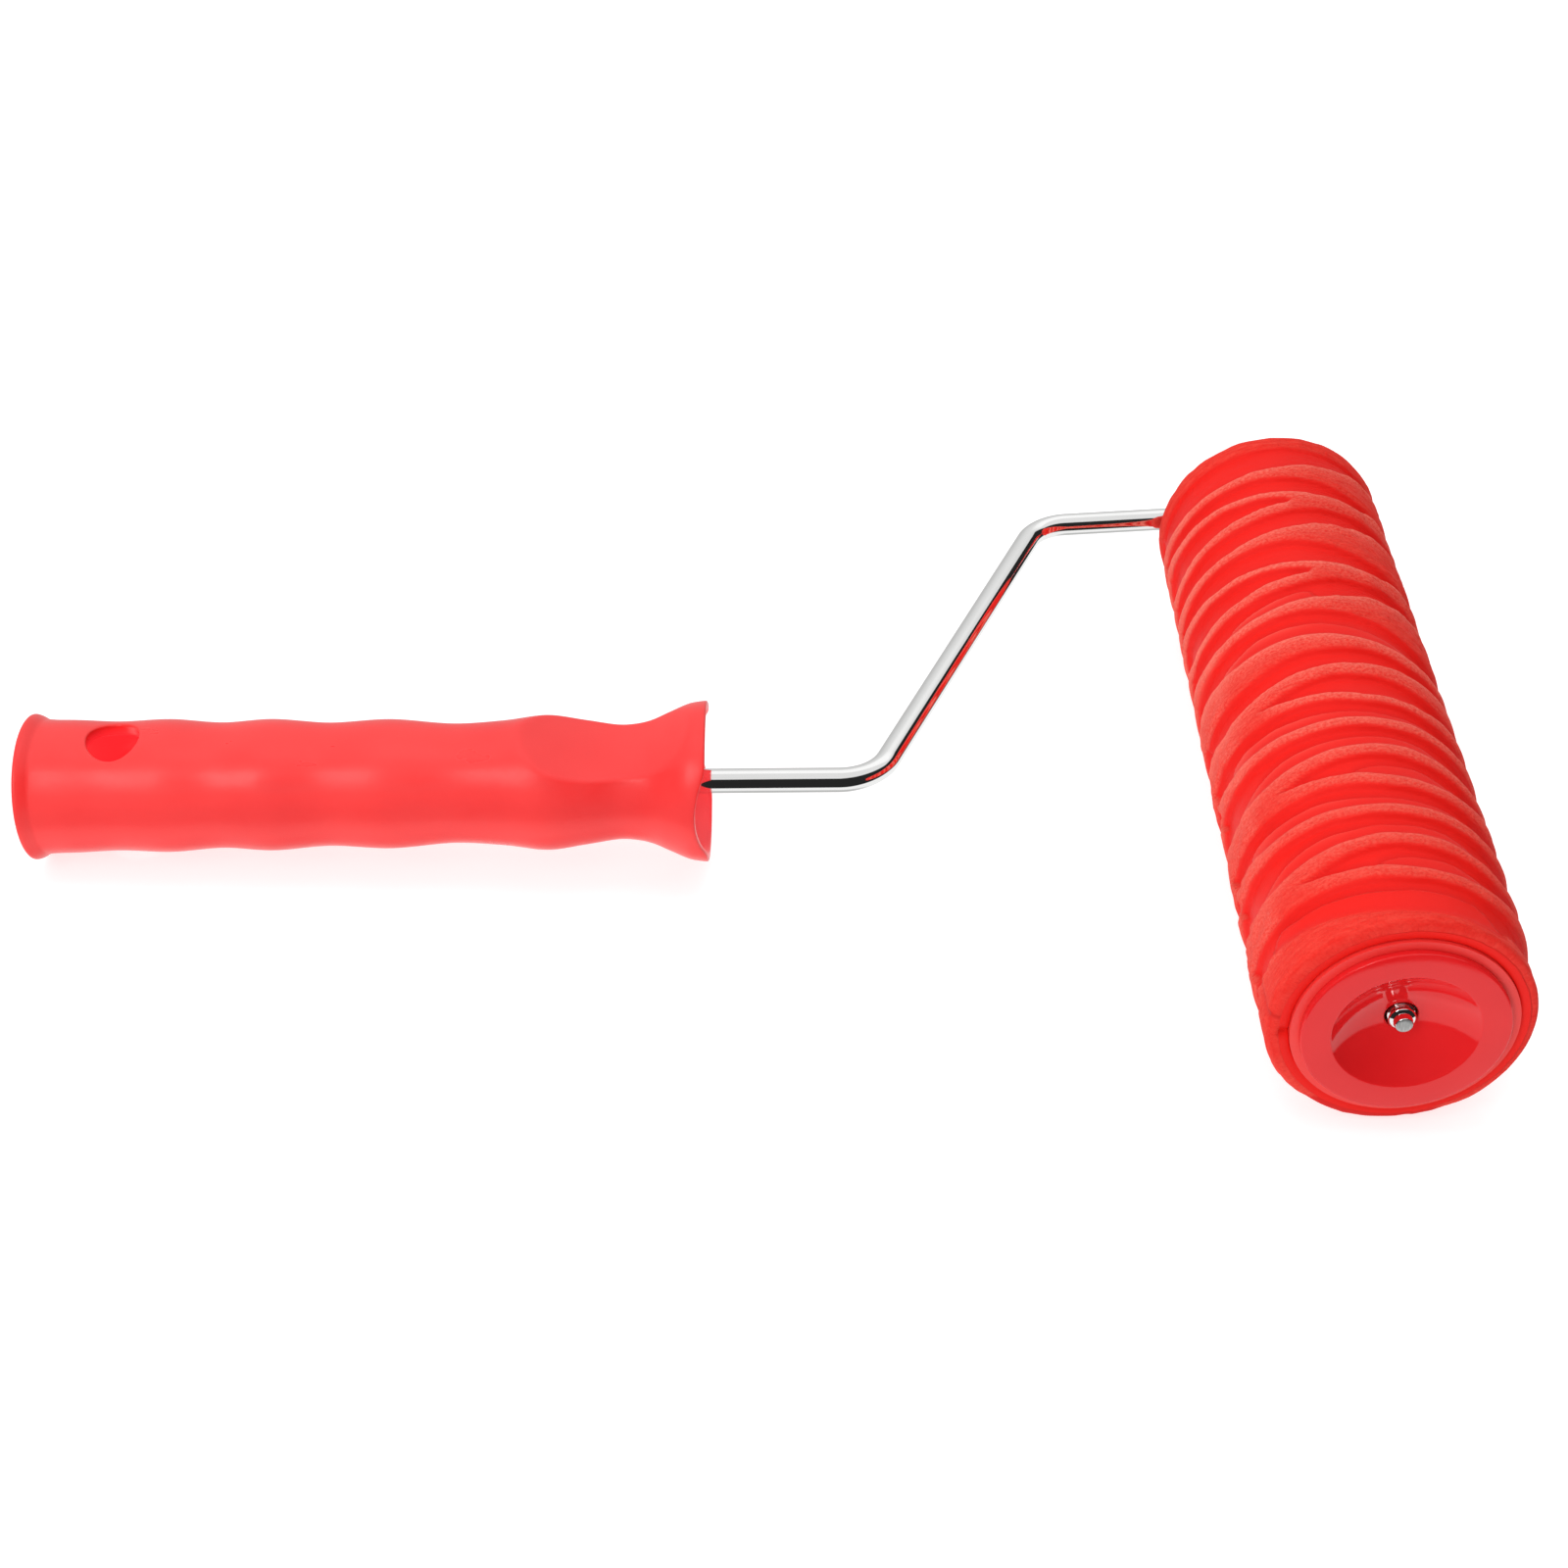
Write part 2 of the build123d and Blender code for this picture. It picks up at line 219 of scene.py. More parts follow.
SPAN_FOOT = [
    (-178, 12.4), (-80, 12.4), (0, 11.4), (45, 11.3), (70, 12.1), (90, 12.7), (110, 13.1),
    (130, 13.3), (150, 13.5), (165, 13.9), (182, 14.2),
]
SPREAD_NEAR = [
    (-178, 15.8), (-60, 15.6), (0, 14.6), (45, 13.9), (60, 14.5), (70, 14.9), (90, 15.2),
    (110, 15.7), (130, 16.2), (150, 16.8), (160, 17.5), (170, 18.4), (182, 19.6),
]
SPREAD_LEDGE = [
    (50, 14.2), (56, 15.1), (65, 15.9), (80, 16.7), (95, 17.4), (105, 18), (120, 18.8), (140, 19.6),
    (150, 19.7), (157, 19.2), (163, 18),
]
SPREAD_FOOT = [
    (-178, 22), (-60, 21.3), (0, 20.4), (45, 19.9), (70, 21), (90, 21.7), (110, 22.8), (130, 23.6),
    (150, 24), (182, 24.2),
]

FAR_TIPS = (30.8, 60.5)
BACK_TIPS = (-70, -41.4, 19.2, 49)
BEFORE_NEAR = [
    (-178, -12.5), (-120, -12), (-60, -10), (0, -8), (45, -7.6), (55, -8.9), (70, -9.8),
    (80, -10.8), (90, -11.7), (100, -12.5), (120, -13.5), (140, -13.9), (160, -13.6), (182, -12),
]
BEFORE_LEDGE = [
    (92, -11.4), (98, -9.8), (110, -10.2), (120, -10.9), (130, -11.6), (138, -12.5), (144, -13.8),
]
BEFORE_FOOT = [
    (-178, -6.8), (-60, -5), (0, -3.6), (50, -3), (70, -3.4), (80, -3.8), (90, -4.5), (100, -5.5),
    (110, -6.2), (125, -6.8), (140, -7.1), (160, -6.9), (182, -6.5),
]
SPLIT_NEAR = [
    (91, 0), (95, -1.6), (101, -2.1), (110, -2.8), (120, -3.4), (130, -4), (140, -4.4), (150, -4.6),
    (162, -4.8), (170, -4.4), (182, -2.6), (220, -3), (260, -2), (290, 0),
]
SPLIT_FOOT = [
    (91, 0), (100, 0.8), (110, 1.6), (120, 2.2), (130, 2.8), (150, 3.9), (165, 4.8), (182, 6),
    (220, 4.4), (260, 2), (290, 0),
]
AFTER_NEAR = [
    (-178, 9.5), (-120, 8), (-60, 6), (0, 4), (40, 3.4), (60, 2.4), (90, 2.5), (100, 3), (110, 3.7),
    (130, 5), (150, 6.3), (160, 7), (170, 8.1), (182, 10.3),
]
AFTER_FOOT = [
    (-178, 13), (-60, 10), (0, 8), (50, 7.2), (60, 8.2), (80, 10.2), (90, 11.2), (100, 11.9),
    (110, 12.4), (130, 13), (182, 13.4),
]
LAST_FOOT = [
    (-178, 12), (-60, 9), (0, 7), (50, 6.8), (60, 7.5), (70, 8.5), (90, 9.5), (110, 10.1),
    (130, 10.5), (150, 11), (170, 12.3), (182, 13.4),
]

FIRST_NEAR = [
    (-178, -81.6), (0, -84), (44, -86), (52, -85.4), (55, -83.8), (61, -82.3), (70, -81.6),
    (80, -81), (90, -80.4), (110, -79.5), (120, -78.9), (130, -78.3), (140, -78), (157, -78),
    (162, -80.2), (182, -79.6),
]
FIRST_FOOT = [
    (-178, -77), (0, -78.6), (50, -78.4), (70, -77.5), (90, -77), (110, -76), (130, -75.3),
    (182, -74.3),
]
BRIM_NEAR = [
    (49, -87.4), (54, -88.4), (62, -88.6), (75, -88.2), (90, -87.6), (100, -86.9), (110, -86),
    (120, -85), (130, -84), (140, -83), (150, -82.1), (164, -80.2),
]
THIRD_NEAR = [
    (-178, -9), (-60, -8.6), (0, -7.6), (45, -7), (80, -6.7), (100, -6.9), (110, -7.3), (120, -7.9),
    (140, -9.3), (150, -9.8), (165, -10), (182, -9),
]
THIRD_FOOT = [
    (-178, -1), (0, -2.5), (50, -2.2), (65, -1.2), (80, -0.7), (100, -0.8), (120, -1.7),
    (140, -2.8), (182, -3),
]
MIDDLE_NEAR = [
    (-178, 7), (-60, 3), (0, 1.4), (45, 0.6), (60, 1.9), (70, 2.6), (80, 3.5), (100, 4.5),
    (140, 5.5), (155, 6.1), (165, 6.7), (182, 8.2),
]
MIDDLE_LEDGE = [
    (50, 1.4), (60, 4), (70, 6), (80, 7), (90, 7.8), (105, 8.6), (120, 9.2), (130, 9), (140, 8.2),
    (148, 7), (154, 6.1),
]
MIDDLE_FOOT = [
    (-178, 13.6), (-60, 10), (0, 8.4), (45, 9), (60, 11), (70, 12.4), (80, 13.4), (100, 14),
    (182, 13.8),
]
END_NEAR = [
    (-178, 78), (-60, 80), (0, 81.5), (45, 80), (60, 78), (80, 76), (100, 74.4), (125, 73.7),
    (140, 73.9), (150, 74.2), (160, 75), (182, 77.4),
]
END_FOOT = [(-178, 85.4), (50, 84.8), (80, 84.2), (182, 84)]
HIDDEN_NEAR = [(196, -85), (210, -87.5), (330, -87.4), (354, -85)]
HIDDEN_FOOT = [(196, -85), (210, -83.2), (330, -83), (354, -85)]
BACK_NEAR = [(200, 0), (225, -2.2), (262, -3), (300, -2.2), (328, 0)]
BACK_FOOT = [(200, 0), (225, 0.9), (262, 1.3), (300, 0.9), (328, 0)]

DEEP, SHALLOW = 2.1, 0.75
DROP = 0.5  # how far along the roller a hollow takes to fall from the ridge before it
SHARP_BELOW = 1  # a hollow that falls in less than this has a sharp edge, with a painted highlight along it and a paler ridge top before it
FULL_DEPTH_WIDTH = 2.5  # a hollow narrower than this is shallower too
LEDGE_OFFSET = 0.7  # how far past its ledge curve a hollow's second fall begins
BANK_OUT, BANK_IN = 1.9, 0.2  # how far its bank reaches past the foot, and short of it
FADE = 3.4  # how far a ridge's paling reaches back from an edge, and painted shade reaches into a hollow
DEEP_SHADE = 0.7  # how far the darkest of that shade reaches
SLIT_ANGLE, SLIT_SPREAD, SLIT_DEPTH = 175, 1.7, 0.9
NICK_ANGLE, NICK_SPREAD, NICK_DEPTH = 184, 2, 0.9
SEAM_SPREAD, SEAM_HEIGHT = 0.9, 0.22
ROUND = 192  # points round the sleeve
ALONG = 492  # points along it
END_ROUND = 2.8


def hollow(near, foot, tip=0.0, depth=DEEP, ledge=None, fall=DROP):
    return {"near": near, "foot": foot, "tip": tip, "depth": depth, "ledge": ledge, "fall": fall}


hollows = [
    hollow(BRIM_NEAR, FIRST_NEAR, depth=0.85, fall=4.5),
    hollow(FIRST_NEAR, FIRST_FOOT, depth=1.9),
    hollow(THIRD_NEAR, THIRD_FOOT),
    hollow(MIDDLE_NEAR, MIDDLE_FOOT, ledge=MIDDLE_LEDGE),
    hollow(BEFORE_NEAR, BEFORE_FOOT, FAR_TIPS[0], ledge=BEFORE_LEDGE),
    hollow(BEFORE_NEAR, BEFORE_FOOT, FAR_TIPS[1]),
    hollow(AFTER_NEAR, AFTER_FOOT, FAR_TIPS[0]),
    hollow(AFTER_NEAR, LAST_FOOT, FAR_TIPS[1]),
    hollow(END_NEAR, END_FOOT, depth=1.6),
    hollow(HIDDEN_NEAR, HIDDEN_FOOT, depth=1.0),
    hollow(LENS_NEAR, LENS_FOOT, LENS_TIPS[2]),
]
hollows += [hollow(SPLIT_NEAR, SPLIT_FOOT, tip) for tip in FAR_TIPS]
for tip in LENS_TIPS[:2]:
    hollows += [
        hollow(LENS_NEAR, LENS_FOOT, tip, ledge=LENS_LEDGE),
        hollow(SPAN_NEAR, SPAN_FOOT, tip, ledge=SPAN_LEDGE),
        hollow(SPREAD_NEAR, SPREAD_FOOT, tip, ledge=SPREAD_LEDGE),
    ]
hollows += [hollow(BACK_NEAR, BACK_FOOT, tip, 1.5) for tip in BACK_TIPS]


def carve(angle, along):
    """How deep the relief is, in mm, and four masks from 0 to 1.

    The masks are the ridges, their paling, which grows towards a ridge's far edge, a painted
    highlight along that edge, and painted shade in the hollow behind it.
    """
    depth, ledge_highlight, crest_highlight, shade, ramp = (np.zeros_like(angle) for _ in range(5))
    # how far the painted highlight along an edge spreads: furthest where the ridges are torn
    glow = 0.9 + 2.8 * smoothstep(140, 160, angle) * smoothstep(260, 210, angle)
    for cut in hollows:
        for lap in (-360, 0, 360):
            at = angle + lap
            inside = (at >= cut["near"][0][0]) & (at <= cut["near"][-1][0])
            if not inside.any():
                continue
            low = smooth_curve(cut["near"], at) + cut["tip"]
            foot = smooth_curve(cut["foot"], at) + cut["tip"]
            steps = [(low, cut["depth"], crest_highlight)]
            if cut["ledge"]:
                start, end = cut["ledge"][0][0], cut["ledge"][-1][0]
                there = smoothstep(start, start + 4, at) * smoothstep(end, end - 4, at)
                step = smooth_curve(cut["ledge"], at) + cut["tip"] + LEDGE_OFFSET
                second = low + np.maximum(step - low, 0) * there
                steps = [(low, SHALLOW, crest_highlight), (second, cut["depth"], ledge_highlight)]
            for edge, deepest, light in steps:
                width = np.maximum(foot - edge, 1e-3)
                room = np.clip(width / FULL_DEPTH_WIDTH, 0, 1) ** 0.7 * inside
                t = along - edge
                in_hollow, on_ridge = t > 0, t < 0.2
                fall = np.sin(np.clip(t / np.minimum(cut["fall"], 0.4 * width), 0, 1) * math.pi / 2)
                reach = np.maximum(room, 0.05)
                climb = (foot + BANK_OUT * reach - along) / ((BANK_OUT + BANK_IN) * reach)
                climb = np.clip(climb, 0, 1)
                slope = np.clip((foot - along) / width, 0, 1)
                bank = 0.9 * (1 - np.sqrt(1 - climb**2)) + 0.1 * slope
                cut_to = np.where(in_hollow, deepest * room * fall * bank, 0)
                np.maximum(depth, cut_to, out=depth)
                if cut["fall"] < SHARP_BELOW:
                    # a sharp edge gets a painted highlight along it, and the ridge before it pales
                    # towards it
                    back = np.minimum(t, 0)
                    for mask, spread in ((light, glow), (ramp, FADE)):
                        paling = np.where(on_ridge, room * np.exp(back / spread), 0)
                        np.maximum(mask, paling, out=mask)
                dim = 0.5 * np.clip(1 - t / FADE, 0, 1)
                dim = dim + 0.5 * np.exp(-np.maximum(t, 0) / DEEP_SHADE)
                np.maximum(shade, np.where(in_hollow, room * deepest / DEEP * dim, 0), out=shade)
    land = 1 - smoothstep(0.25, 0.8, depth)
    # the ledges' painted highlight, stronger from 95 to 120 degrees round, fading into the hollow
    ledge_highlight *= (0.1 + 0.4 * smoothstep(95, 120, angle)) * (1 - smoothstep(0.7, 1.2, depth))
    return depth, land, land * ramp, np.maximum(crest_highlight * land, ledge_highlight), shade


def make_sleeve(material):
    turn = np.arange(ROUND) / ROUND
    half = SLEEVE_LENGTH / 2
    lip = END_ROUND * (1 - np.cos(np.linspace(0, math.pi / 2, 7)))[:-1]
    middle = np.linspace(-half + END_ROUND, half - END_ROUND, ALONG)
    along = np.concatenate([-half + lip, middle, (half - lip)[::-1]])
    u, y = np.meshgrid(turn, along)
    angle = (u * 360 + PARTING) % 360

    # carved edges wander a little
    sway = 0.8 * (wrapped_noise(u, y, 9, 26, 1) - 0.5) + 0.5 * (wrapped_noise(u, y, 34, 9, 2) - 0.5)
    depth, land, paling, light, shade = carve(angle, y + sway * smoothstep(half, half - 8, np.abs(y)))
    depth[1:-1] = 0.25 * depth[:-2] + 0.5 * depth[1:-1] + 0.25 * depth[2:]

    # near the cap, a slit sets the last ridge off from the parting line, where the end is nicked
    slit = np.exp(-(((angle - SLIT_ANGLE) / SLIT_SPREAD) ** 2)) * smoothstep(-79.5, -82, y)
    nick = np.exp(-(((angle[0] - NICK_ANGLE) / NICK_SPREAD) ** 2))
    # the slit gets painted shade, and none of the ridges' paler colour
    depth, shade, land = depth + SLIT_DEPTH * slit, np.maximum(shade, slit), land * (1 - 0.8 * slit)

    # fibres run round the ridges, and are coarser where the ridges of the far half spread out
    strands = smoothstep(14, 30, angle) * smoothstep(100, 80, angle) * smoothstep(8, 14, y)
    torn = smoothstep(146, 156, angle) * smoothstep(202, 190, angle)
    torn = torn * smoothstep(12, 8, y) * smoothstep(-86, -78, y)
    fibre = wrapped_noise(u, y + 0.6 * sway, 26, 1.3, 3)
    fibre = fibre + 0.6 * wrapped_noise(u, y, 60, 1.0, 4) - 0.8
    pits = wrapped_noise(u, y, 90, 1.9, 5) - 0.5
    rough = land * (fibre * (0.2 + 0.5 * strands) + 0.6 * torn * pits - 0.12)
    streak = (1 - land) * 0.12 * (wrapped_noise(u, y, 16, 1.6, 6) - 0.5)
    from_parting = (angle - PARTING + 180) % 360 - 180
    seam = SEAM_HEIGHT * np.exp(-(from_parting / SEAM_SPREAD) ** 2) * smoothstep(3, 0.2, depth)
    radius = SLEEVE_R - depth + rough + streak - 0.1 + seam
    radius = radius + 0.2 * (wrapped_noise(u, y, 7, 30, 8) - 0.5)
    # the near end tapers, most of all on the side away from the handle
    taper = 0.3 + 1.2 * np.maximum(np.cos(np.radians(angle + 15)), 0)
    radius -= taper * smoothstep(half - 20, half, -y)

    # both ends are rounded over
    inset = np.clip(END_ROUND - (half - np.abs(y)), 0, END_ROUND)
    rounded = SLEEVE_R - END_ROUND + np.sqrt(END_ROUND**2 - inset**2)
    radius = np.minimum(radius, rounded + 0.3 * (pits - 0.2))
    radius = np.minimum(radius, SLEEVE_R)

    face = [(TUBE_R + 1.9, 0.0), (TUBE_R + 0.3, 0.05), (TUBE_R + 0.02, 0.3)]
    rings = [(np.full(ROUND, r), -half + d + NICK_DEPTH * nick) for r, d in reversed(face)]
    rings += [(radius[i], along[i]) for i in range(len(along))]
    rings += [(np.full(ROUND, r), half - d) for r, d in face]
    a = math.radians(PARTING) + turn * 2 * math.pi
    points = np.vstack([
        np.column_stack([AXLE[0] + r * np.cos(a), AXLE[1] + d + 0 * a, r * np.sin(a)])
        for r, d in rings
    ])
    faces, rows = [], [list(range(i * ROUND, (i + 1) * ROUND)) for i in range(len(rings))]
    for i in range(len(rows)):
        faces += strip_faces(rows[i], rows[(i + 1) % len(rows)])
    blank = np.zeros(len(face) * ROUND)
    # the ridges pale more, and their painted highlights grow, towards the far half
    used = 0.15 + 0.25 * smoothstep(-86, -72, y) + 0.6 * smoothstep(-80, 25, y)
    # the rounded ends are smoother, with less of the ridges' paleness, and get painted shade
    smooth_shaded_end = smoothstep(half - 1.6, half - 0.6, np.abs(y))
    land, shade = land * (1 - 0.35 * smooth_shaded_end), np.maximum(shade, 0.55 * smooth_shaded_end)
    # light is the painted highlight along sharp ridge edges, and shade is the painted shade behind
    # them
    masks = {"land": land, "paling": paling * used, "light": light * used, "shade": shade,
             "strands": strands, "torn": torn * land}
    attributes = {
        name: np.concatenate([blank, values.ravel(), blank]) for name, values in masks.items()
    }
    piece = make_piece("rubber_sleeve", points, faces, "roller", ["pattern_sleeve"],
                       material, attributes)
    lay_out(piece, ROUND, [float(np.mean(d)) for _, d in rings], 2 * math.pi * SLEEVE_R)
    return piece


def lay_out(piece, segments, along, girth):
    """A UV map in metres: round the piece, and along it."""
    rows = len(along)
    layer = piece.data.uv_layers.new(name="surface")
    j = np.arange(rows * segments) % segments
    i = np.arange(rows * segments) // segments
    along = np.append(np.asarray(along), along[-1])
    u = np.stack([j, j + 1, j + 1, j], 1) / segments * girth
    v = np.stack([along[i], along[i], along[i + 1], along[i + 1]], 1)
    layer.data.foreach_set("uv", (np.stack([u, v], 2).ravel() * MM).astype(np.float32))


# ---------------------------------------------------------------- handle
GRIP_TWIST = math.radians(5.6)
MOUTH_TWIST = math.radians(-6)
NOTCH_DEPTH = 2.3
NOTCH_R = 25
SOCKET_R = 11.5
SOCKET_DEPTH = 86
HANG_HOLE_X = 20.2
HANG_HOLE_R = 5.7
THUMB_BARREL_AXIS = 40
THUMB_REST_FROM = 96
NO_LIMIT = 99
HOLLOW_R = 8
BOSS_R = 5.2
BOSS_END_X = 131
RIB_END_X = 126
CORE_FRONT_X = 100
RIB_HALF_ANGLE = math.radians(7)
RIM_WALL = 1.8
WIRE_SEAT_R = 2.88
BEAD_R = 16
HOLE_LIP, HOLE_INNER_LIP = 0.45, 0.3  # how far the hang hole's two edges are rounded
HOLE_HEADING_R = 14.4  # about the grip's radius at the hang hole
ROW_STEP = 0.85
STRETCH_FROM = 138  # in front of this the rows close up on the notched rim
RIM_EDGE = 0.55  # how far behind the rim its rounding begins

GRIP = [
    (0, 15.35), (0.15, 15.78), (0.5, BEAD_R), (1.2, 15.88), (2.2, 15.4), (2.9, 15.0), (3.3, 14.85),
    (4, 14.78), (10, 14.6), (18.6, 14.2), (30.4, 14.62), (42, 13.8), (52.3, 14.45), (65.3, 13.55),
    (78.2, 14.2), (94, 13.1), (104, 13.75), (113.5, 14.8), (122, 13.65), (131, 12.6), (136, 13.5),
    (140.2, 15.3), (144.5, 17.1), (HANDLE_LENGTH, FRONT_RIM_R),
]
THUMB_REST = [
    (95, 18.2), (105, 15.1), (115.2, 11.95), (124, 10.15), (130, 9.82), (136, 10.9), (141, 14),
    (146.5, 18.4), (150, 21.6),
]
FUNNEL = [
    (BOSS_END_X, HOLLOW_R), (136, 8.9), (141, 11.9), (145, 15),
    (HANDLE_LENGTH, FRONT_RIM_R - RIM_WALL),
]

COLUMNS = 256
HOLE_COLUMNS = 28  # each side of the hang hole's middle
HOLE_ROWS = 20
HOLE_REACH = 8.2


def grip_radius(x, turn):
    """Radius of the handle's outer surface; turn is measured from the top of the twisted grip."""
    radius = smooth_curve(GRIP, x)
    height = smooth_curve(THUMB_REST, x)
    for side in (0, math.pi):
        across = THUMB_BARREL_AXIS * np.sin(turn - side)
        facing = np.cos(turn - side)
        chord = np.sqrt(np.maximum((height + THUMB_BARREL_AXIS) ** 2 - across**2, 0))
        rest = -THUMB_BARREL_AXIS * facing + chord
        rest = np.where((facing > 0.1) & (x > THUMB_REST_FROM), rest, NO_LIMIT)
        radius = soft_min(radius, rest, 0.45)
    return radius


def on_handle(x, radius, turn):
    """Points at distances and turns from the handle's axis, which lies along X."""
    at = turn - GRIP_TWIST
    x = np.broadcast_to(x, np.shape(turn))
    return np.column_stack([x, radius * np.sin(at), radius * np.cos(at)])


def rim_x(radius, turn):
    """How far forward the notched rim reaches."""
    height = radius * np.cos(turn - GRIP_TWIST + MOUTH_TWIST)
    notch = HANDLE_LENGTH - NOTCH_DEPTH + NOTCH_R - np.sqrt(np.maximum(NOTCH_R**2 - height**2, 0))
    return soft_min(np.full_like(turn, HANDLE_LENGTH), notch, 0.5)


def hang_hole_faces(middle, blocks, rows, hole_x, add_row):
    """Faces of one half of the hang hole, round the column `middle`.

    Rings lead from the square left open in each wall to a rounded circle, and the bore joins them.
    """
    side = middle * 2 * math.pi / COLUMNS
    loops = {}
    for first, inner in blocks:
        order = list(range(HOLE_ROWS + 1))
        line = order[::-1] if inner else order
        spread = range(-HOLE_COLUMNS, HOLE_COLUMNS + 1)
        walk = [(line[0], j) for j in spread]
        walk += [(i, HOLE_COLUMNS) for i in line[1:]]
        walk += [(line[-1], j) for j in list(spread)[-2::-1]]
        walk += [(i, -HOLE_COLUMNS) for i in line[-2:0:-1]]
        step = 2 * math.pi / COLUMNS
        border = [rows[first + i][(middle + j) % COLUMNS] for i, j in walk]
        x = np.array([hole_x[::-1][i] if inner else hole_x[i] for i, _ in walk])
        across = np.array([j * step for _, j in walk])
        loops[inner] = (border, x, across)
    _, x, across = loops[False]
    heading = np.arctan2(np.sin(across) * HOLE_HEADING_R, x - HANG_HOLE_X)

    def rings_to_circle(inner, lip):
        border, x, across = loops[inner]
        reach = HANG_HOLE_R + lip
        circle_x = HANG_HOLE_X + reach * np.cos(heading)
        wall = SOCKET_R if inner else smooth_curve(GRIP, circle_x)
        circle_across = np.arcsin(reach * np.sin(heading) / wall)
        made = [border]
        for t in np.linspace(0, 1, 8)[1:]:
            ring_x = x + t * (circle_x - x)
            ring_turn = side + across + t * (circle_across - across)
            radius = np.full_like(ring_x, SOCKET_R) if inner else grip_radius(ring_x, ring_turn)
            made.append(add_row(ring_x, radius, ring_turn))
        return made, wall * np.cos(circle_across)

    def bore_ring(reach, height):
        y, z = reach * np.sin(heading), height
        x = HANG_HOLE_X + reach * np.cos(heading)
        return add_row(x, np.hypot(y, z), side + np.arctan2(y, z))

    def rounded_ring(lip, height, toward, b):
        reach = HANG_HOLE_R + lip * (1 - math.sin(b))
        return bore_ring(reach, height + toward * lip * (1 - math.cos(b)))

    outer, top = rings_to_circle(False, HOLE_LIP)
    inner, bottom = rings_to_circle(True, HOLE_INNER_LIP)
    bore = [rounded_ring(HOLE_LIP, top, -1, b) for b in (0.4, 0.8, 1.2, math.pi / 2)]
    bore += [bore_ring(HANG_HOLE_R, top * (1 - t) + bottom * t) for t in (0.35, 0.7)]
    bore += [rounded_ring(HOLE_INNER_LIP, bottom, 1, b) for b in (math.pi / 2, 1.0, 0.5)]
    chain = outer + bore + inner[::-1]
    faces = []
    for low, high in zip(chain, chain[1:]):
        faces += strip_faces(low, high)
    return faces


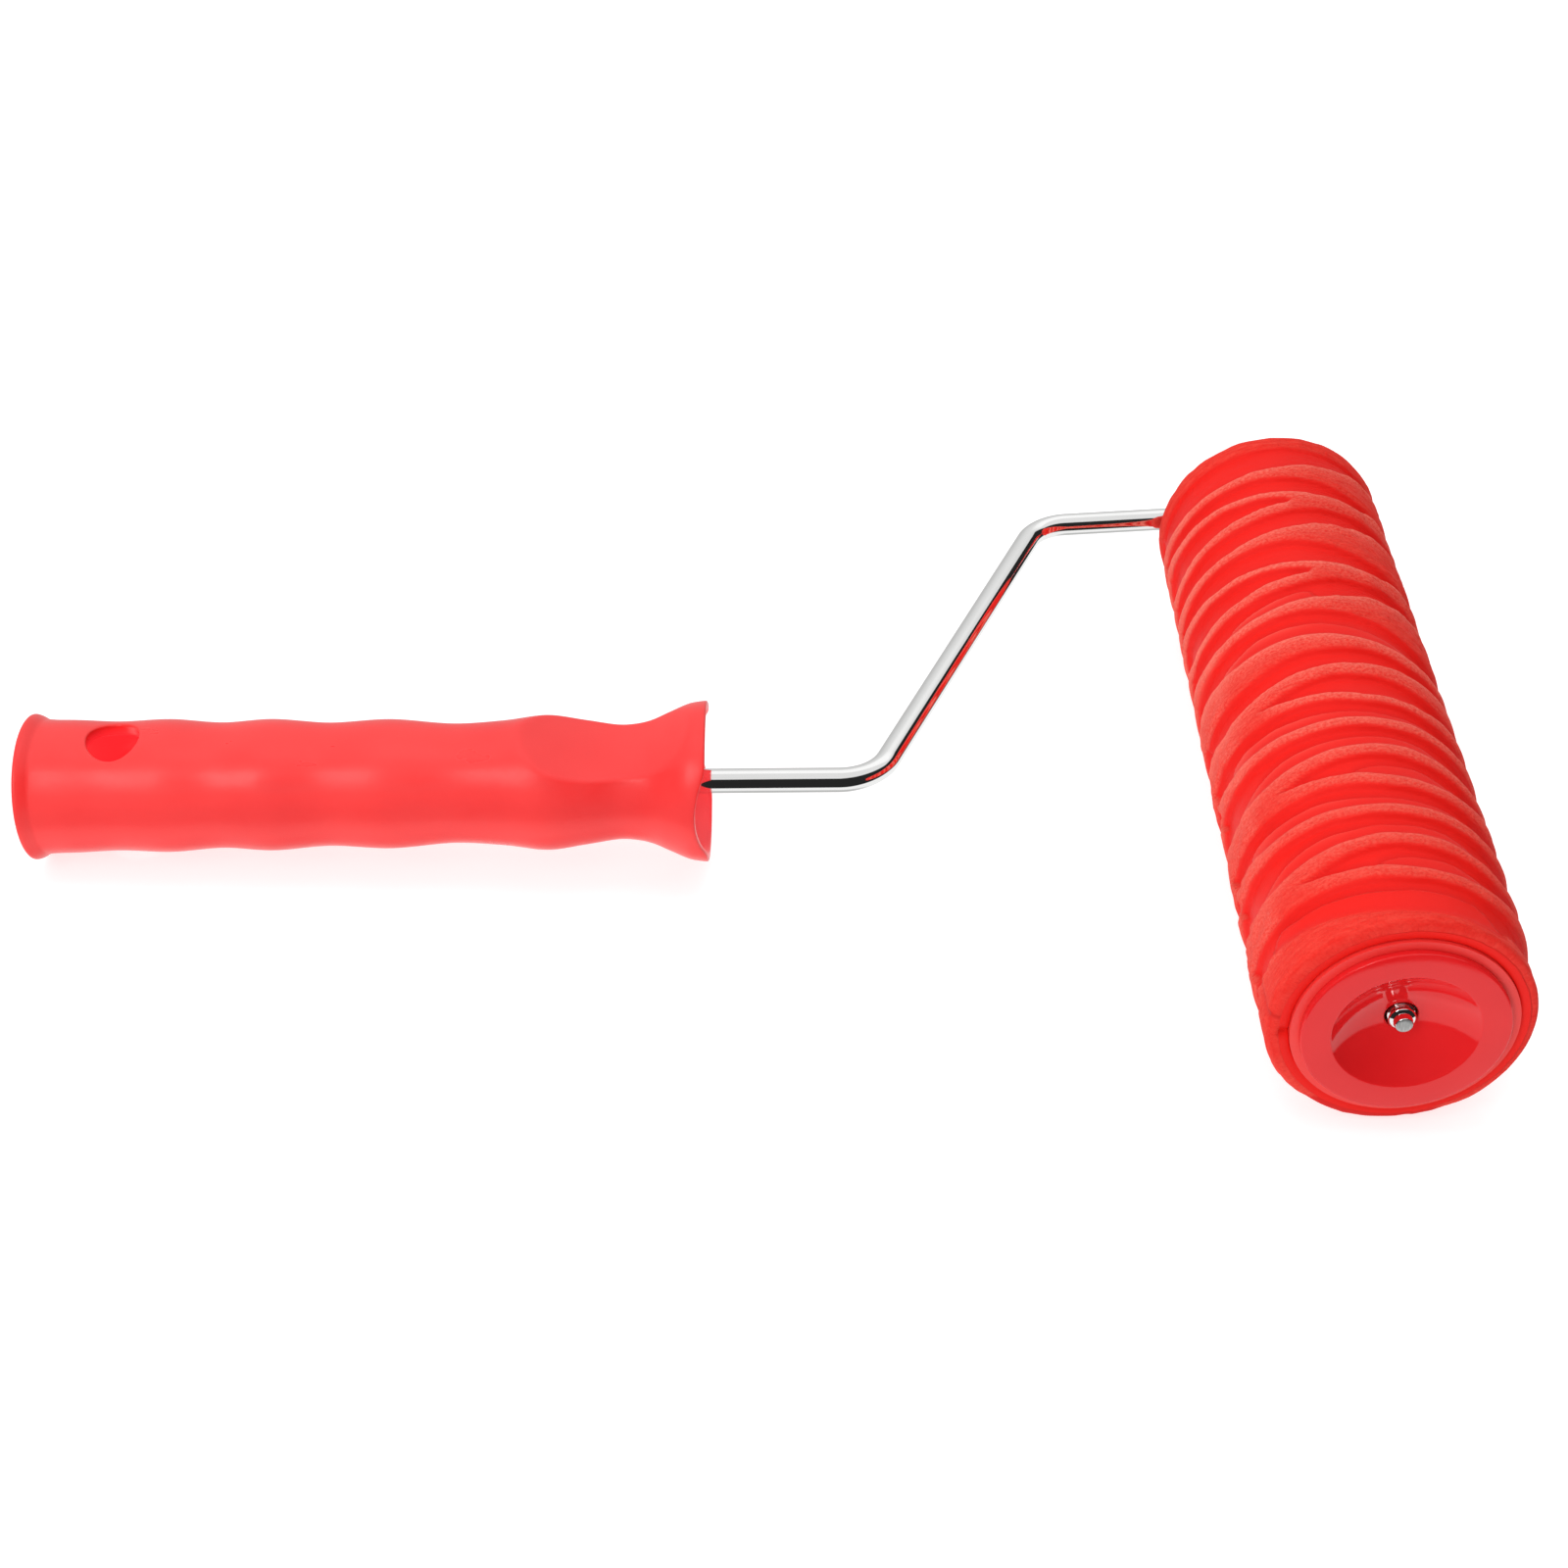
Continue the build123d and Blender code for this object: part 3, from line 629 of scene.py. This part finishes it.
def make_handle(material):
    turn = np.arange(COLUMNS) * 2 * math.pi / COLUMNS
    flat = np.ones(COLUMNS)
    points, faces, rows = [], [], []

    def add_row(x, radius, at=turn):
        made = on_handle(x, radius, at)
        start = sum(len(p) for p in points)
        points.append(made)
        return list(range(start, start + len(made)))

    hole_x = np.linspace(HANG_HOLE_X - HOLE_REACH, HANG_HOLE_X + HOLE_REACH, HOLE_ROWS + 1)
    # socket, from its floor out to the mouth
    floor_edge = ((0, 6), (0, 10.6), (0.3, 11.2), (0.9, SOCKET_R))
    for back, r in floor_edge:
        rows.append(add_row(SOCKET_DEPTH - back, r * flat))
    for x in (70, 52, 36):
        rows.append(add_row(x, SOCKET_R * flat))
    inner_block = len(rows)
    for x in hole_x[::-1]:
        rows.append(add_row(x, SOCKET_R * flat))
    # mouth, butt and bead, then the grip
    for x in (8, 4, 0.8):
        rows.append(add_row(x, SOCKET_R * flat))
    for x, r in ((0.25, 11.66), (0, 12.1), (0, 13.4), (0, 14.8), (0, 15.3)):
        rows.append(add_row(x, r * flat))
    before = np.concatenate([np.linspace(0.12, 3.6, 15), np.linspace(4.4, hole_x[0] - 0.8, 9)])
    for x in before:
        rows.append(add_row(x, grip_radius(x * flat, turn)))
    outer_block = len(rows)
    for x in hole_x:
        rows.append(add_row(x, grip_radius(x * flat, turn)))
    for x in np.arange(hole_x[-1] + ROW_STEP, STRETCH_FROM, ROW_STEP):
        rows.append(add_row(x, grip_radius(x * flat, turn)))
    edge = rim_x(FRONT_RIM_R * flat, turn)
    inner_edge = rim_x((FRONT_RIM_R - RIM_WALL) * flat, turn)
    for t in np.linspace(0, 1, 15):
        x = STRETCH_FROM + t * (edge - RIM_EDGE - STRETCH_FROM)
        rows.append(add_row(x, grip_radius(x, turn)))
    out, into = grip_radius(edge, turn), smooth_curve(FUNNEL, inner_edge)
    rows.append(add_row(edge - 0.2, out - 0.12))
    rows.append(add_row(edge - 0.04, out - 0.36))
    rows.append(add_row(edge * 0.7 + inner_edge * 0.3, out * 0.7 + into * 0.3))
    rows.append(add_row(edge * 0.3 + inner_edge * 0.7, out * 0.3 + into * 0.7))
    rows.append(add_row(inner_edge - 0.04, into + 0.3))
    rows.append(add_row(inner_edge - 0.2, into + 0.08))
    for t in np.linspace(1, 0, 18):
        x = BOSS_END_X + t * (inner_edge - RIM_EDGE - BOSS_END_X)
        rows.append(add_row(x, smooth_curve(FUNNEL, x)))
    # annular hollow, crossed by four ribs, and the boss round the wire
    quarter = (turn + math.pi / 4) % (math.pi / 2) - math.pi / 4
    floor_x = np.where(np.abs(quarter - GRIP_TWIST) < RIB_HALF_ANGLE, RIB_END_X, CORE_FRONT_X)
    rows.append(add_row(np.maximum(floor_x, RIB_END_X) + 0.4, HOLLOW_R * flat))
    rows.append(add_row(floor_x + 0.3, (HOLLOW_R - 0.02) * flat))
    rows.append(add_row(floor_x, (HOLLOW_R - 0.35) * flat))
    rows.append(add_row(floor_x, (BOSS_R + 0.35) * flat))
    rows.append(add_row(floor_x + 0.3, (BOSS_R + 0.02) * flat))
    rows.append(add_row(np.maximum(floor_x, RIB_END_X) + 0.4, BOSS_R * flat))
    boss_end = ((0.4, BOSS_R), (0.1, 5.08), (0, 4.8), (0, 3.3), (0.2, 3), (0.7, WIRE_SEAT_R))
    for back, r in boss_end:
        rows.append(add_row(BOSS_END_X - back, r * flat))
    rows.append(add_row(101, WIRE_SEAT_R * flat))

    blocks = ((inner_block, True), (outer_block, False))
    skipped = set()
    for first, _ in blocks:
        for middle in (0, COLUMNS // 2):
            for i in range(HOLE_ROWS):
                for j in range(-HOLE_COLUMNS, HOLE_COLUMNS):
                    skipped.add((first + i, (middle + j) % COLUMNS))
    for i in range(len(rows) - 1):
        for j in range(COLUMNS):
            if (i, j) not in skipped:
                k = (j + 1) % COLUMNS
                faces.append((rows[i][j], rows[i][k], rows[i + 1][k], rows[i + 1][j]))
    faces += [tuple(rows[0]), tuple(rows[-1])]

    for middle in (0, COLUMNS // 2):
        faces += hang_hole_faces(middle, blocks, rows, hole_x, add_row)

    points = np.vstack(points)
    # 0 on the outside, 1 from 1.6 mm under it
    x, y, z = points.T
    under = np.hypot(y, z) - grip_radius(x, np.arctan2(y, z) + GRIP_TWIST)
    inner = smoothstep(-0.6, -1.6, under)
    used = np.unique(np.concatenate([np.array(f) for f in faces]))
    renumber = {int(v): k for k, v in enumerate(used)}
    faces = [tuple(renumber[v] for v in f) for f in faces]
    piece = make_piece("handle_moulding", points[used], faces, "frame", ["handle"],
                       material, {"inner": inner[used]})
    face_out(piece)
    return piece


def face_out(piece):
    """Turn every face of a closed mesh to look outwards."""
    form = bmesh.new()
    form.from_mesh(piece.data)
    bmesh.ops.recalc_face_normals(form, faces=form.faces)
    form.to_mesh(piece.data)
    form.free()


# ---------------------------------------------------------------- wire
WIRE_CORNERS = [(90, 0), (184.9, 0), (227.7, 103.4), (AXLE[0], 108.21), (AXLE[0], wire_low[1])]
BENDS = (12, 12, 8)  # the radius of each bend
BEND_STEPS = 40
STRAIGHT_STEP = 6
TIP_ROOM = 8  # how much of the spindle's end is given to its turned tip
FLATTENED_IN, FLATTENED_UP = 0.035, 0.01  # the share of its thickness that bending takes away
WIRE_SEGMENTS = 64
# (distance from the spindle's end, radius) of its turned tip
TIP = [
    (0, 0.9), (0, 1.6), (0.06, 1.74), (0.2, 1.8), (1.45, 1.8), (1.56, 1.86), (1.6, 2.3),
    (1.66, 2.45), (1.85, 2.65), (2.1, 2.75), (2.35, 2.65), (2.54, 2.45), (2.6, 2.25), (2.68, 2.2),
    (3.12, 2.2), (3.2, 2.3), (3.2, 2.66), (3.3, 2.75), (5.5, 2.75), (5.6, 2.6), (5.75, 2.3),
    (6.1, 2.15), (6.45, 2.3), (6.6, 2.6), (6.7, 2.75),
]


def bent_path():
    """Places and headings along the wire: straights, joined by arcs that touch them."""
    corners = [np.array(c, float) for c in WIRE_CORNERS]
    places = []
    here = corners[0]
    for corner, after, bend in zip(corners[1:-1], corners[2:], BENDS):
        a, b = corner - here, after - corner
        length = np.linalg.norm(a)
        a, b = a / length, b / np.linalg.norm(b)
        turn = math.atan2(a[0] * b[1] - a[1] * b[0], a @ b)
        reach = bend * math.tan(abs(turn) / 2)
        run = np.linspace(0, length - reach, max(4, int((length - reach) / STRAIGHT_STEP)))
        for s in run[1 if places else 0:-1]:
            places.append((here + a * s, math.atan2(a[1], a[0]), 0.0))
        start, side = corner - a * reach, math.copysign(1, turn)
        centre = start + side * bend * np.array([-a[1], a[0]])
        for t in np.linspace(0, 1, BEND_STEPS):
            heading = math.atan2(a[1], a[0]) + turn * t
            place = centre - side * bend * np.array([-math.sin(heading), math.cos(heading)])
            places.append((place, heading, math.sin(math.pi * t) ** 2))
        here = corner + b * reach
    return places, here


def make_wire(material):
    places, here = bent_path()
    rings = [(place, heading, 1.0, bent) for place, heading, bent in places]
    tip = np.array(WIRE_CORNERS[-1], float)
    straight = here[1] - tip[1]
    for s in np.linspace(1, straight - TIP_ROOM, 24):
        rings.append((here - np.array([0, s]), -math.pi / 2, 1.0, 0.0))
    for back, radius in reversed(TIP):
        rings.append((tip + np.array([0, back]), -math.pi / 2, radius / WIRE_R, 0.0))
    turn = np.arange(WIRE_SEGMENTS) * 2 * math.pi / WIRE_SEGMENTS
    points, along, total = [], [], 0.0
    for k, (place, heading, scale, bent) in enumerate(rings):
        side = np.array([-math.sin(heading), math.cos(heading), 0])
        middle = np.array([place[0], place[1], 0])
        across = WIRE_R * scale * (1 - FLATTENED_IN * bent)
        up = WIRE_R * scale * (1 - FLATTENED_UP * bent)
        ring = middle + np.outer(np.cos(turn) * across, side)
        points.append(ring + np.outer(np.sin(turn) * up, (0, 0, 1)))
        total += float(np.linalg.norm(place - rings[k - 1][0])) if k else 0.0
        along.append(total)
    rows = [list(range(i * WIRE_SEGMENTS, (i + 1) * WIRE_SEGMENTS)) for i in range(len(rings))]
    faces = []
    for low, high in zip(rows, rows[1:]):
        faces += strip_faces(low, high)
    faces += [tuple(rows[0][::-1]), tuple(rows[-1])]
    sawn = np.zeros(len(rings) * WIRE_SEGMENTS)
    sawn[-2 * WIRE_SEGMENTS:] = 1  # the spindle's end is left as it was cut
    piece = make_piece("bent_wire", np.vstack(points), faces, "frame", ["wire_frame"],
                       material, {"sawn": sawn})
    layer = piece.data.uv_layers.new(name="surface")
    values = np.zeros((len(piece.data.loops), 2), np.float32)
    quads = (len(rings) - 1) * WIRE_SEGMENTS
    i, j = np.arange(quads) // WIRE_SEGMENTS, np.arange(quads) % WIRE_SEGMENTS
    along = np.array(along)
    u = np.stack([j, j + 1, j + 1, j], 1) / WIRE_SEGMENTS * 2 * math.pi * WIRE_R
    v = np.stack([along[i], along[i], along[i + 1], along[i + 1]], 1)
    values[: quads * 4] = np.stack([u, v], 2).reshape(-1, 2) * MM
    layer.data.foreach_set("uv", values.ravel())
    face_out(piece)
    return piece


# ---------------------------------------------------------------- end caps
DISH_R = 14.4
DISH_HOLE_R = 3.25
DISH_DEPTH = 5.1
DISH_MID = (8.8, 3.6)
FLANGE_THICKNESS = 1.6
SPIGOT_DEPTH = 14
SPIGOT_R = TUBE_R - 3.4
CAP_WALL = 1.6
HUB_R, HUB_START, HUB_END = 6.6, 6.7, 21.2
HUB_BORE_R = 4.2
BEARING_SEAT_R, BEARING_SEAT_START = 5.0, 9.2
DISH_BACK = [(SPIGOT_R - CAP_WALL, 2.0), (11.8, 5.0), (HUB_R, HUB_START)]
CAP_SEGMENTS = 192


def arc_through(start, middle, end, steps):
    """Points along the arc through three (radius, depth) places, both ends included."""
    (ax, ay), (bx, by), (cx, cy) = start, middle, end
    d = 2 * (ax * (by - cy) + bx * (cy - ay) + cx * (ay - by))
    a2, b2, c2 = ax**2 + ay**2, bx**2 + by**2, cx**2 + cy**2
    ux = (a2 * (by - cy) + b2 * (cy - ay) + c2 * (ay - by)) / d
    uy = (a2 * (cx - bx) + b2 * (ax - cx) + c2 * (bx - ax)) / d
    angles = np.unwrap([math.atan2(y - uy, x - ux) for x, y in (start, middle, end)])
    radius = math.hypot(ax - ux, ay - uy)
    t = np.linspace(angles[0], angles[2], steps)
    return [(ux + radius * math.cos(a), uy + radius * math.sin(a)) for a in t]


def make_cap(name, node, face_y, inward, material):
    """One end cap, turned from its profile of (radius, depth behind its outer face) corners."""
    dish = arc_through((DISH_HOLE_R, DISH_DEPTH), DISH_MID, (DISH_R, 0), 30)
    rim = [(CAP_R, 0), (CAP_R, FLANGE_THICKNESS), (SPIGOT_R, FLANGE_THICKNESS)]
    spigot = [(SPIGOT_R, SPIGOT_DEPTH), (SPIGOT_R - CAP_WALL, SPIGOT_DEPTH), DISH_BACK[0]]
    back = arc_through(*DISH_BACK, 8)[1:]
    hub = [(HUB_R, HUB_END), (BEARING_SEAT_R, HUB_END), (BEARING_SEAT_R, BEARING_SEAT_START),
           (HUB_BORE_R, BEARING_SEAT_START), (HUB_BORE_R, HUB_START), (DISH_HOLE_R, HUB_START)]
    radii = [0.35] + [0] * (len(dish) - 2) + [0.45]  # the dish
    radii += [0.45, 0.12, 0.15]  # the rim
    radii += [0.3, 0.3, 0] + [0] * len(back)  # the spigot and the back
    radii += [0.2, 0.2, 0, 0.1, 0, 0.2]  # the hub
    profile = softened(dish + rim + spigot + back + hub, radii)
    ring, faces = turned([(r, inward * d) for r, d in profile], CAP_SEGMENTS)
    points = ring + np.array([AXLE[0], face_y, 0])
    piece = make_piece(name, points, faces, "roller", [node], material)
    face_out(piece)
    return piece


# ---------------------------------------------------------------- materials
def add_node(tree, kind, links=None, **settings):
    """A shader node; each of its links is another node's output or a plain value."""
    made = tree.nodes.new("ShaderNode" + kind)
    for key, value in settings.items():
        setattr(made, key, value)
    for socket, value in (links or {}).items():
        if isinstance(value, bpy.types.NodeSocket):
            tree.links.new(value, made.inputs[socket])
        else:
            made.inputs[socket].default_value = value
    return made


class Finish:
    """A procedural material and the nodes it is made of."""

    def __init__(self, name, **settings):
        self.material = bpy.data.materials.new(name)
        self.material.use_nodes = True
        self.tree = self.material.node_tree
        self.shader = self.tree.nodes["Principled BSDF"]
        for socket, value in settings.items():
            self.shader.inputs[socket.replace("_", " ")].default_value = value

    def node(self, kind, links=None, **settings):
        return add_node(self.tree, kind, links, **settings)

    def place(self, kind="Object", stretch=(1, 1, 1)):
        if kind == "UV":
            where = self.node("UVMap", uv_map="surface").outputs["UV"]
        else:
            where = self.node("TexCoord").outputs[kind]
        return self.node("Mapping", {"Vector": where, "Scale": stretch}).outputs["Vector"]

    def noise(self, where, scale, detail=3.0, rough=0.55):
        links = {"Vector": where, "Scale": scale, "Detail": detail, "Roughness": rough}
        return self.node("TexNoise", links).outputs["Fac"]

    def math(self, operation, a, b):
        return self.node("Math", {0: a, 1: b}, operation=operation).outputs[0]

    def span(self, value, low, high, to_low, to_high):
        links = {"Value": value, "From Min": low, "From Max": high}
        links |= {"To Min": to_low, "To Max": to_high}
        return self.node("MapRange", links).outputs["Result"]

    def blend(self, factor, a, b):
        # a colour Mix keeps its factor in input 0, its colours in 6 and 7, its result in output 2
        return self.node("Mix", {0: factor, 6: a, 7: b}, data_type="RGBA").outputs[2]

    def set(self, **links):
        for socket, value in links.items():
            self.tree.links.new(value, self.shader.inputs[socket.replace("_", " ")])

    def bump(self, height, strength, distance, under=None):
        links = {"Height": height, "Strength": strength, "Distance": distance}
        if under is not None:
            links["Normal"] = under
        return self.node("Bump", links).outputs["Normal"]


def rubber():
    look = Finish("sleeve rubber", Specular_IOR_Level=0.12, IOR=1.5)

    def painted(name):
        return look.node("Attribute", attribute_name=name).outputs["Fac"]

    round_it = look.place("UV", (0.16, 1, 1))
    fibre = look.noise(round_it, 1500, 3, 0.6)
    felt = look.noise(look.place("UV", (0.7, 1, 1)), 1900, 4, 0.7)
    grain = look.noise(look.place(), 2600, 2)
    cloud = look.noise(look.place(), 60, 2)
    land = painted("land")
    floor = look.blend(cloud, (0.77, 0.011, 0.0075, 1), (0.83, 0.015, 0.010, 1))
    shaded = look.math("MULTIPLY", painted("shade"), 0.85)
    floor = look.blend(shaded, floor, (0.48, 0.002, 0.002, 1))
    strand = look.span(fibre, 0.35, 0.7, 0, 1)
    crown = look.blend(strand, (0.83, 0.030, 0.020, 1), (0.88, 0.066, 0.046, 1))
    speckled = look.math("MULTIPLY", painted("paling"), look.span(felt, 0.40, 0.62, 0.05, 1.25))
    crown = look.blend(speckled, crown, (0.94, 0.18, 0.13, 1))
    crowned = look.math("MULTIPLY", land, look.span(felt, 0.3, 0.6, 0.55, 1.0))
    colour = look.blend(crowned, floor, crown)
    torn = look.math("MULTIPLY", painted("torn"), look.span(felt, 0.35, 0.7, 0.0, 0.5))
    # the painted highlight along sharp ridge edges, together with the torn patches' own paleness
    pale = look.math("MAXIMUM", look.math("MULTIPLY", painted("light"), 0.75), torn)
    colour = look.blend(pale, colour, (0.96, 0.22, 0.165, 1))
    look.set(Base_Color=colour)
    matt = look.math("ADD", land, look.math("MULTIPLY", grain, 0.2))
    look.set(Roughness=look.span(matt, 0.1, 1.1, 0.48, 0.8))
    height = look.math("MULTIPLY", land, look.math("ADD", look.math("MULTIPLY", fibre, 0.5), felt))
    raised = look.math("MULTIPLY", look.math("MULTIPLY", painted("strands"), fibre), 0.8)
    height = look.math("ADD", height, raised)
    height = look.math("ADD", height, look.math("MULTIPLY", grain, 0.1))
    look.set(Normal=look.bump(height, 0.8, 0.0005))
    return look.material


def moulded(name, dark, light, rough, grain_size=3200, grain_depth=0.00004, lit_through=0.0,
            **settings):
    """Moulded plastic. lit_through is how strongly the inside of a translucent wall glows."""
    look = Finish(name, **settings)
    cloud = look.noise(look.place(), 38, 2)
    grain = look.noise(look.place(), grain_size, 2)
    look.set(Base_Color=look.blend(look.span(cloud, 0.3, 0.7, 0, 1), dark, light))
    smudge = look.noise(look.place(stretch=(0.5, 1, 1)), 110, 4)
    look.set(Roughness=look.span(smudge, 0.3, 0.7, *rough))
    look.set(Normal=look.bump(grain, 0.6, grain_depth))
    if lit_through:  # a stand-in for light that comes through the wall
        inner = look.node("Attribute", attribute_name="inner").outputs["Fac"]
        look.set(Emission_Strength=look.math("MULTIPLY", inner, lit_through))
        look.material.cycles.emission_sampling = "NONE"
    return look.material


def chrome():
    look = Finish("bright chrome", Metallic=1.0)
    drawn = look.noise(look.place("UV", (1, 0.02, 1)), 2600, 3)
    haze = look.noise(look.place(), 90, 3)
    cuts = look.noise(look.place(stretch=(1, 1, 0.25)), 2400, 3)
    sawn = look.node("Attribute", attribute_name="sawn").outputs["Fac"]
    plated = look.blend(haze, (0.86, 0.86, 0.85, 1), (0.93, 0.93, 0.925, 1))
    bare = look.blend(look.span(cuts, 0.3, 0.7, 0, 1), (0.56, 0.57, 0.56, 1), (0.82, 0.84, 0.82, 1))
    look.set(Base_Color=look.blend(sawn, plated, bare))
    polish = look.span(drawn, 0.3, 0.7, 0.035, 0.09)
    look.set(Roughness=look.math("ADD", polish, look.math("MULTIPLY", sawn, 0.4)))
    drawn_marks = look.bump(drawn, 0.12, 0.00001)
    look.set(Normal=look.bump(look.math("MULTIPLY", sawn, cuts), 0.6, 0.0001, drawn_marks))
    return look.material


def metal(name, dark, light, rough, turned_marks=1500):
    look = Finish(name, Metallic=1.0)
    marks = look.noise(look.place(stretch=(1, 0.1, 1)), turned_marks, 3)
    look.set(Base_Color=look.blend(look.span(marks, 0.3, 0.7, 0, 1), dark, light))
    look.set(Roughness=look.span(marks, 0.3, 0.7, *rough))
    look.set(Normal=look.bump(marks, 0.3, 0.00002))
    return look.material


handle_red = moulded("handle plastic", (0.84, 0.025, 0.025, 1), (0.90, 0.034, 0.033, 1),
                     (0.27, 0.37), lit_through=0.25, Emission_Color=(0.92, 0.05, 0.075, 1),
                     Specular_IOR_Level=0.5)
cap_red = moulded("cap plastic", (0.67, 0.011, 0.013, 1), (0.73, 0.016, 0.018, 1),
                  (0.04, 0.09), 900, 0.00001, Specular_IOR_Level=0.42)
tube_red = moulded("tube plastic", (0.80, 0.030, 0.026, 1), (0.88, 0.040, 0.034, 1),
                   (0.36, 0.5), 1400)
nylon = moulded("bearing nylon", (0.70, 0.69, 0.64, 1), (0.78, 0.77, 0.72, 1),
                (0.34, 0.46), 1800, Subsurface_Weight=0.1)
chromed = chrome()
zinc = metal("zinc plate", (0.55, 0.55, 0.54, 1), (0.72, 0.72, 0.70, 1), (0.2, 0.34))
spring = metal("spring steel", (0.22, 0.22, 0.23, 1), (0.36, 0.36, 0.37, 1), (0.25, 0.4))

make_sleeve(rubber())
make_handle(handle_red)
make_wire(chromed)
make_cap("near_cap", "near_end_cap", NEAR_FACE_Y, 1, cap_red)
make_cap("far_cap", "far_end_cap", FAR_FACE_Y, -1, cap_red)

for node, finish in (("core_tube", tube_red), ("near_bearing", nylon), ("far_bearing", nylon),
                     ("snap_ring", spring), ("thrust_washer", zinc)):
    for place in bpy.data.objects[node].material_slots:
        place.material = finish


# ---------------------------------------------------------------- floor, light and camera
FLOOR_GAP = 0.3
FLOOR_HALF_SIDE = 6  # metres, as are the lights' and the camera's places


def paper():
    """The floor gives off some light of its own, so that it stays white round the tool."""
    look = Finish("pale paper", Specular_IOR_Level=0.2, Emission_Color=(1, 1, 1, 1),
                  Emission_Strength=0.72)
    fleck = look.noise(look.place(), 900, 3)
    look.set(Base_Color=look.blend(fleck, (0.47, 0.47, 0.47, 1), (0.50, 0.50, 0.50, 1)))
    look.set(Roughness=look.span(fleck, 0.3, 0.7, 0.8, 0.95))
    return look.material


def make_floor():
    """A floor just under the butt's bead and the sleeve, on which the tool lies."""
    butt = Vector((0, 0, -BEAD_R * MM))
    belly = Vector((AXLE[0] * MM, 0, sleeve_low[2] * MM))
    down = belly - butt
    mesh = bpy.data.meshes.new("floor")
    form = bmesh.new()
    bmesh.ops.create_grid(form, x_segments=8, y_segments=8, size=FLOOR_HALF_SIDE)
    form.to_mesh(mesh)
    form.free()
    floor = bpy.data.objects.new("floor", mesh)
    floor.rotation_euler = (0, -math.atan2(down.z, down.x), 0)
    floor.location = butt + Vector((0, 0, -FLOOR_GAP * MM))
    floor.data.materials.append(paper())
    floor.visible_glossy = False  # what shines on the table's side comes from the studio
    bpy.context.scene.collection.objects.link(floor)


def make_light(name, place, target, size, power):
    lamp = bpy.data.lights.new(name, "AREA")
    lamp.shape = "RECTANGLE"
    lamp.size, lamp.size_y = size
    lamp.energy = power
    piece = bpy.data.objects.new(name, lamp)
    piece.location = place
    piece.rotation_euler = (Vector(target) - Vector(place)).to_track_quat("-Z", "Y").to_euler()
    bpy.context.scene.collection.objects.link(piece)
    return piece


def make_world():
    """A white studio whose walls are dark near the horizon, most of all on the camera's side."""
    world = bpy.data.worlds.new("studio")
    bpy.context.scene.world = world
    world.use_nodes = True
    tree = world.node_tree
    background = tree.nodes["Background"]
    background.inputs["Color"].default_value = (1, 1, 1, 1)

    def step(value, low, high):
        links = {"Value": value, "From Min": low, "From Max": high}
        made = add_node(tree, "MapRange", links, interpolation_type="SMOOTHSTEP")
        return made.outputs["Result"]

    def calc(operation, a, b):
        return add_node(tree, "Math", {0: a, 1: b}, operation=operation).outputs[0]

    heading = add_node(tree, "TexCoord").outputs["Generated"]
    parts = add_node(tree, "SeparateXYZ", {0: heading}).outputs
    front = calc("MAXIMUM", calc("MULTIPLY", parts["Y"], -1.0), 0.0)
    right = calc("MAXIMUM", parts["X"], 0.0)
    back = calc("MAXIMUM", calc("SUBTRACT", parts["Y"], calc("MULTIPLY", right, 0.8)), 0.0)
    top = calc("SUBTRACT", parts["Z"], calc("MULTIPLY", front, 0.55))
    top = calc("SUBTRACT", top, calc("MULTIPLY", right, 0.15))
    top = calc("ADD", top, calc("MULTIPLY", back, 3.0))
    height = calc("ADD", calc("MULTIPLY", step(parts["Z"], -0.1, 0.75), 0.25), 0.55)
    sky = calc("MULTIPLY", step(top, 0.38, 0.43), height)
    bottom = calc("ADD", parts["Z"], calc("MULTIPLY", front, 0.25))
    below = calc("SUBTRACT", 0.95, calc("MULTIPLY", step(parts["Z"], -0.90, -0.98), 0.45))
    table = calc("MULTIPLY", step(bottom, -0.36, -0.41), below)
    panel = calc("MULTIPLY", step(parts["Z"], 0.55, 0.75), step(parts["Y"], 0.15, 0.35))
    glow = calc("ADD", calc("MAXIMUM", sky, table), calc("MULTIPLY", panel, 0.25))
    glow = calc("ADD", glow, 0.02)
    seen = add_node(tree, "LightPath").outputs["Is Camera Ray"]  # the backdrop itself is white
    glow = calc("MAXIMUM", glow, calc("MULTIPLY", seen, 1.2))
    tree.links.new(glow, background.inputs["Strength"])


def make_camera():
    camera = bpy.data.cameras.new("camera")
    camera.lens = 55.32
    camera.clip_start = 0.01
    piece = bpy.data.objects.new("camera", camera)
    place = Vector((0.17434, -0.4159, 0.3241))
    target = Vector((0.16495, -0.00128, 0))
    lean = Matrix.Rotation(math.radians(-1.27), 4, "Z")
    aim = (target - place).to_track_quat("-Z", "Y").to_matrix().to_4x4()
    piece.matrix_world = Matrix.Translation(place) @ aim @ lean
    bpy.context.scene.collection.objects.link(piece)
    bpy.context.scene.camera = piece


make_floor()
make_world()
soft = make_light("high softbox", (0.12, 0.1, 1.3), (0.15, 0, 0), (1.0, 0.7), 5.8)
fill = make_light("front fill", (-0.35, -1.1, 0.5), (0.15, 0, 0), (1.6, 1.0), 8.8)
# what shines shows the studio and the small softbox alone
soft.visible_glossy = fill.visible_glossy = False
make_light("small softbox", (-0.36, -0.68, 0.8), (0.06, 0, 0), (0.2, 0.5), 1.7)
make_camera()

bpy.context.scene.view_settings.view_transform = "Standard"
